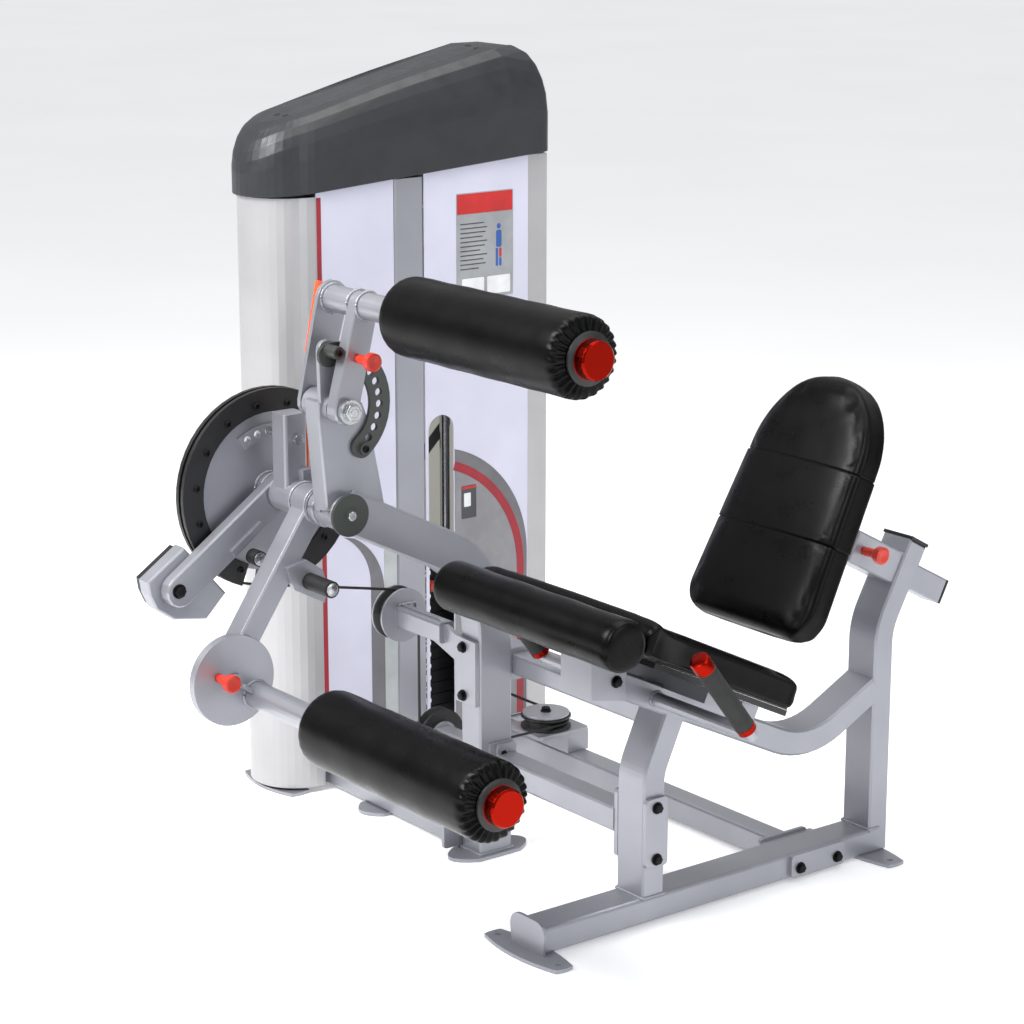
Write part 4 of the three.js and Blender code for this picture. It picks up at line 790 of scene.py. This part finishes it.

# Pale liner behind the stack, seen through the slot, with one diagonal stripe. The liner glows: painted light
# that brightens the shaded slot.
liner = Shader("pale liner", srgb(196, 194, 186), 0.5)
liner.ramp(liner.noise(6.0, 2.0), [(0.3, srgb(190, 188, 180)), (0.7, srgb(202, 200, 192))], "Base Color")
# Emission is painted light: the liner glows so the shaded slot behind the stack reads pale.
liner.set("Emission Color", srgb(196, 194, 186))
liner.set("Emission Strength", 0.5)
LINER_X = span("stack_resting", "x")[0] - 6
piece("stack_liner", *sheet_x(LINER_X, rect(560, 800, 70, 1200), 1.0), liner.material, "frame",
      "panel_white", False)
stripe = [(660, 664), (732, 736), (734, 702), (662, 630)]
piece("stack_liner_stripe", *sheet_x(LINER_X + 1.1, stripe, 0.4), EXTRA["dark_band"], "frame", smooth=False)

# Instruction placard: plain blocks and bars stand in for print.
print_on("placard_plate", rect(634, 783, 1008, 1232, 2), "label_grey", 0.1)
print_on("placard_head", rect(636, 781, 1188, 1230, 1), "label_red", 0.55)
for k, width in enumerate((62, 70, 66, 58, 70, 64, 52, 70, 60, 66, 48)):
    line = rect(644, 644 + width, 1166 - k * 9.5, 1168.2 - k * 9.5)
    print_on(f"placard_line_{k:02d}", line, "label_dark", 0.55)
print_on("placard_figure_body", rect(738, 752, 1112, 1148, 4), "label_blue", 0.55)
print_on("placard_figure_head", rect(740, 750, 1151, 1162, 4.9), "label_blue", 0.55)
print_on("placard_figure_leg_a", rect(737, 743, 1072, 1110, 2), "label_blue", 0.55)
print_on("placard_figure_leg_b", rect(746, 752, 1090, 1110, 2), "label_red", 0.55)
print_on("placard_figure_leg_c", rect(746, 752, 1072, 1089, 2), "label_blue", 0.55)
print_on("placard_box_a", rect(648, 706, 1014, 1052, 3), "label_white", 0.55)
print_on("placard_box_b", rect(714, 775, 1014, 1052, 3), "label_white", 0.55)
print_on("decal_plate", rect(644, 683, 534, 606, 2), "label_dark", 0.95)
print_on("decal_head", rect(645, 682, 599, 605, 1), "label_red", 1.4)
print_on("decal_field", rect(650, 668, 560, 590, 2), "label_white", 1.4)

# Tags on the plates, seen through the slot, with a dark mark for the number. The tags glow: painted light
# that lifts them out of the slot's shade.
tag_paint_and_glow = Shader("tag white", srgb(236, 236, 232), 0.5)
tag_paint_and_glow.ramp(tag_paint_and_glow.noise(60.0), [(0.3, srgb(228, 228, 224)), (0.7, srgb(240, 240, 236))], "Base Color")
# Emission is painted light: the white tags glow so they read in the shaded slot.
tag_paint_and_glow.set("Emission Color", srgb(236, 236, 232))
tag_paint_and_glow.set("Emission Strength", 0.35)
plate_x = span("stack_resting", "x")[1]
plate_low = span("stack_resting", "z")[0]
for k in range(ALL_PLATES):
    z = plate_low + PLATE_PITCH * k + 12
    body = "frame" if k < RESTING_PLATES else "stack"
    tag = rect(580, 599, z - 7.5, z + 7.5, 7)
    piece(f"plate_tag_{k:02d}", *sheet_x(plate_x + 0.2, tag, 0.8), tag_paint_and_glow.material, body)
    mark = rect(587.5, 590.5, z - 4.5, z + 4.5, 1) if k % 2 else rect(585, 593, z - 1.5, z + 4, 1)
    piece(f"plate_mark_{k:02d}", *sheet_x(plate_x + 1.1, mark, 0.3), EXTRA["label_dark"], body)

# Screw holes in the top of the tower cap, drawn as dark discs: painted shade where the holes are.
CAP_HOLES = [(-1035, 262), (-1005, 262), (-1050, 752), (-1020, 752)]
tower_cap = frame["nodes"]["tower_cap"]
cap_high = max(v.co.z for v in tower_cap.data.vertices)
for k, (x, y) in enumerate(CAP_HOLES):
    hit, spot, normal, _ = tower_cap.ray_cast(at(x, y, cap_high * 1000 + 100), Vector((0, 0, -1)))
    if hit:
        # Each disc is painted shade standing in for the dark inside of a screw hole.
        hole_shade_disc = turned(spot - normal * 0.001, normal, [(0, 7), (1.3, 7), (1.6, 5)], 24)
        piece(f"cap_screw_{k}", *hole_shade_disc, EXTRA["hole_shade"], "frame")

# ---------------------------------------------------------------- studio
def stage_piece(name, verts, faces, material):
    mesh = bpy.data.meshes.new(name)
    mesh.from_pydata([tuple(v) for v in verts], [], faces)
    obj = bpy.data.objects.new(name, mesh)
    bpy.context.scene.collection.objects.link(obj)
    mesh.materials.append(material)
    return obj


floor_shader = Shader("studio floor", (0.9, 0.9, 0.91, 1), 0.75)
floor_tones = [(0.3, (0.88, 0.88, 0.89)), (0.7, (0.92, 0.92, 0.93))]
floor_shader.ramp(floor_shader.noise(0.7, 2.0), floor_tones, "Base Color")
floor_shader.set("Emission Color", (1, 1, 1, 1))
floor_shader.set("Emission Strength", 0.26)
stage_piece("studio_floor", [(-40, -40, -0.0005), (40, -40, -0.0005), (40, 40, -0.0005), (-40, 40, -0.0005)],
            [(0, 1, 2, 3)], floor_shader.material)

world = bpy.data.worlds.new("studio")
bpy.context.scene.world = world
world.use_nodes = True
sky = world.node_tree
backdrop = sky.nodes["Background"]
backdrop.inputs["Color"].default_value = (1, 1, 1, 1)
backdrop.inputs["Strength"].default_value = 1.0
room = sky.nodes.new("ShaderNodeBackground")
room.inputs["Strength"].default_value = 0.66
direction = sky.nodes.new("ShaderNodeTexCoord")
split = sky.nodes.new("ShaderNodeSeparateXYZ")
height = sky.nodes.new("ShaderNodeValToRGB")
lift = sky.nodes.new("ShaderNodeMath")
lift.operation = "MULTIPLY_ADD"
lift.inputs[1].default_value = 0.5
lift.inputs[2].default_value = 0.5
sky.links.new(direction.outputs["Generated"], split.inputs[0])
sky.links.new(split.outputs["Z"], lift.inputs[0])
sky.links.new(lift.outputs[0], height.inputs["Fac"])
ramp = height.color_ramp
tones = [ramp.elements[0], ramp.elements.new(0.52), ramp.elements.new(0.68), ramp.elements[-1]]
for element, (place, value) in zip(tones, [(0.0, 0.5), (0.5, 0.42), (0.68, 0.8), (1.0, 1.15)]):
    element.position = place
    element.color = (value * 0.97, value * 0.98, value, 1)
sky.links.new(height.outputs["Color"], room.inputs["Color"])
rays = sky.nodes.new("ShaderNodeLightPath")
mix = sky.nodes.new("ShaderNodeMixShader")
sky.links.new(rays.outputs["Is Camera Ray"], mix.inputs["Fac"])
sky.links.new(room.outputs[0], mix.inputs[1])
sky.links.new(backdrop.outputs[0], mix.inputs[2])
sky.links.new(mix.outputs[0], sky.nodes["World Output"].inputs["Surface"])
bpy.context.scene.view_settings.view_transform = "Standard"


def softbox(name, place, target, size, power, colour=(1, 1, 1)):
    light = bpy.data.lights.new(name, "AREA")
    light.shape = "RECTANGLE"
    light.size, light.size_y = size
    light.energy = power
    light.color = colour
    obj = bpy.data.objects.new(name, light)
    bpy.context.scene.collection.objects.link(obj)
    obj.location = Vector(place)
    obj.rotation_mode = "QUATERNION"
    obj.rotation_quaternion = (Vector(target) - Vector(place)).to_track_quat("-Z", "Y")


softbox("key", (-0.6, -3.2, 3.6), (0, 0, 0.6), (2.4, 1.6), 230)
softbox("side", (3.6, 0.4, 2.2), (0, 0, 0.7), (2.0, 2.4), 40, (0.86, 0.92, 1.0))
softbox("top", (0.2, 0.4, 4.2), (0, 0.2, 0), (3.0, 3.0), 90, (1.0, 0.98, 0.94))

camera_data = bpy.data.cameras.new("camera")
camera_data.lens = 95.66
camera_data.sensor_width = 36
camera_data.clip_start, camera_data.clip_end = 0.1, 200
camera = bpy.data.objects.new("camera", camera_data)
bpy.context.scene.collection.objects.link(camera)
camera.location = at(3603, -2714, 1975)
YAW, PITCH = math.radians(52.4), math.radians(14.17)
look = Vector((-math.sin(YAW) * math.cos(PITCH), math.cos(YAW) * math.cos(PITCH), -math.sin(PITCH)))
camera.rotation_mode = "QUATERNION"
camera.rotation_quaternion = look.to_track_quat("-Z", "Y")
bpy.context.scene.camera = camera
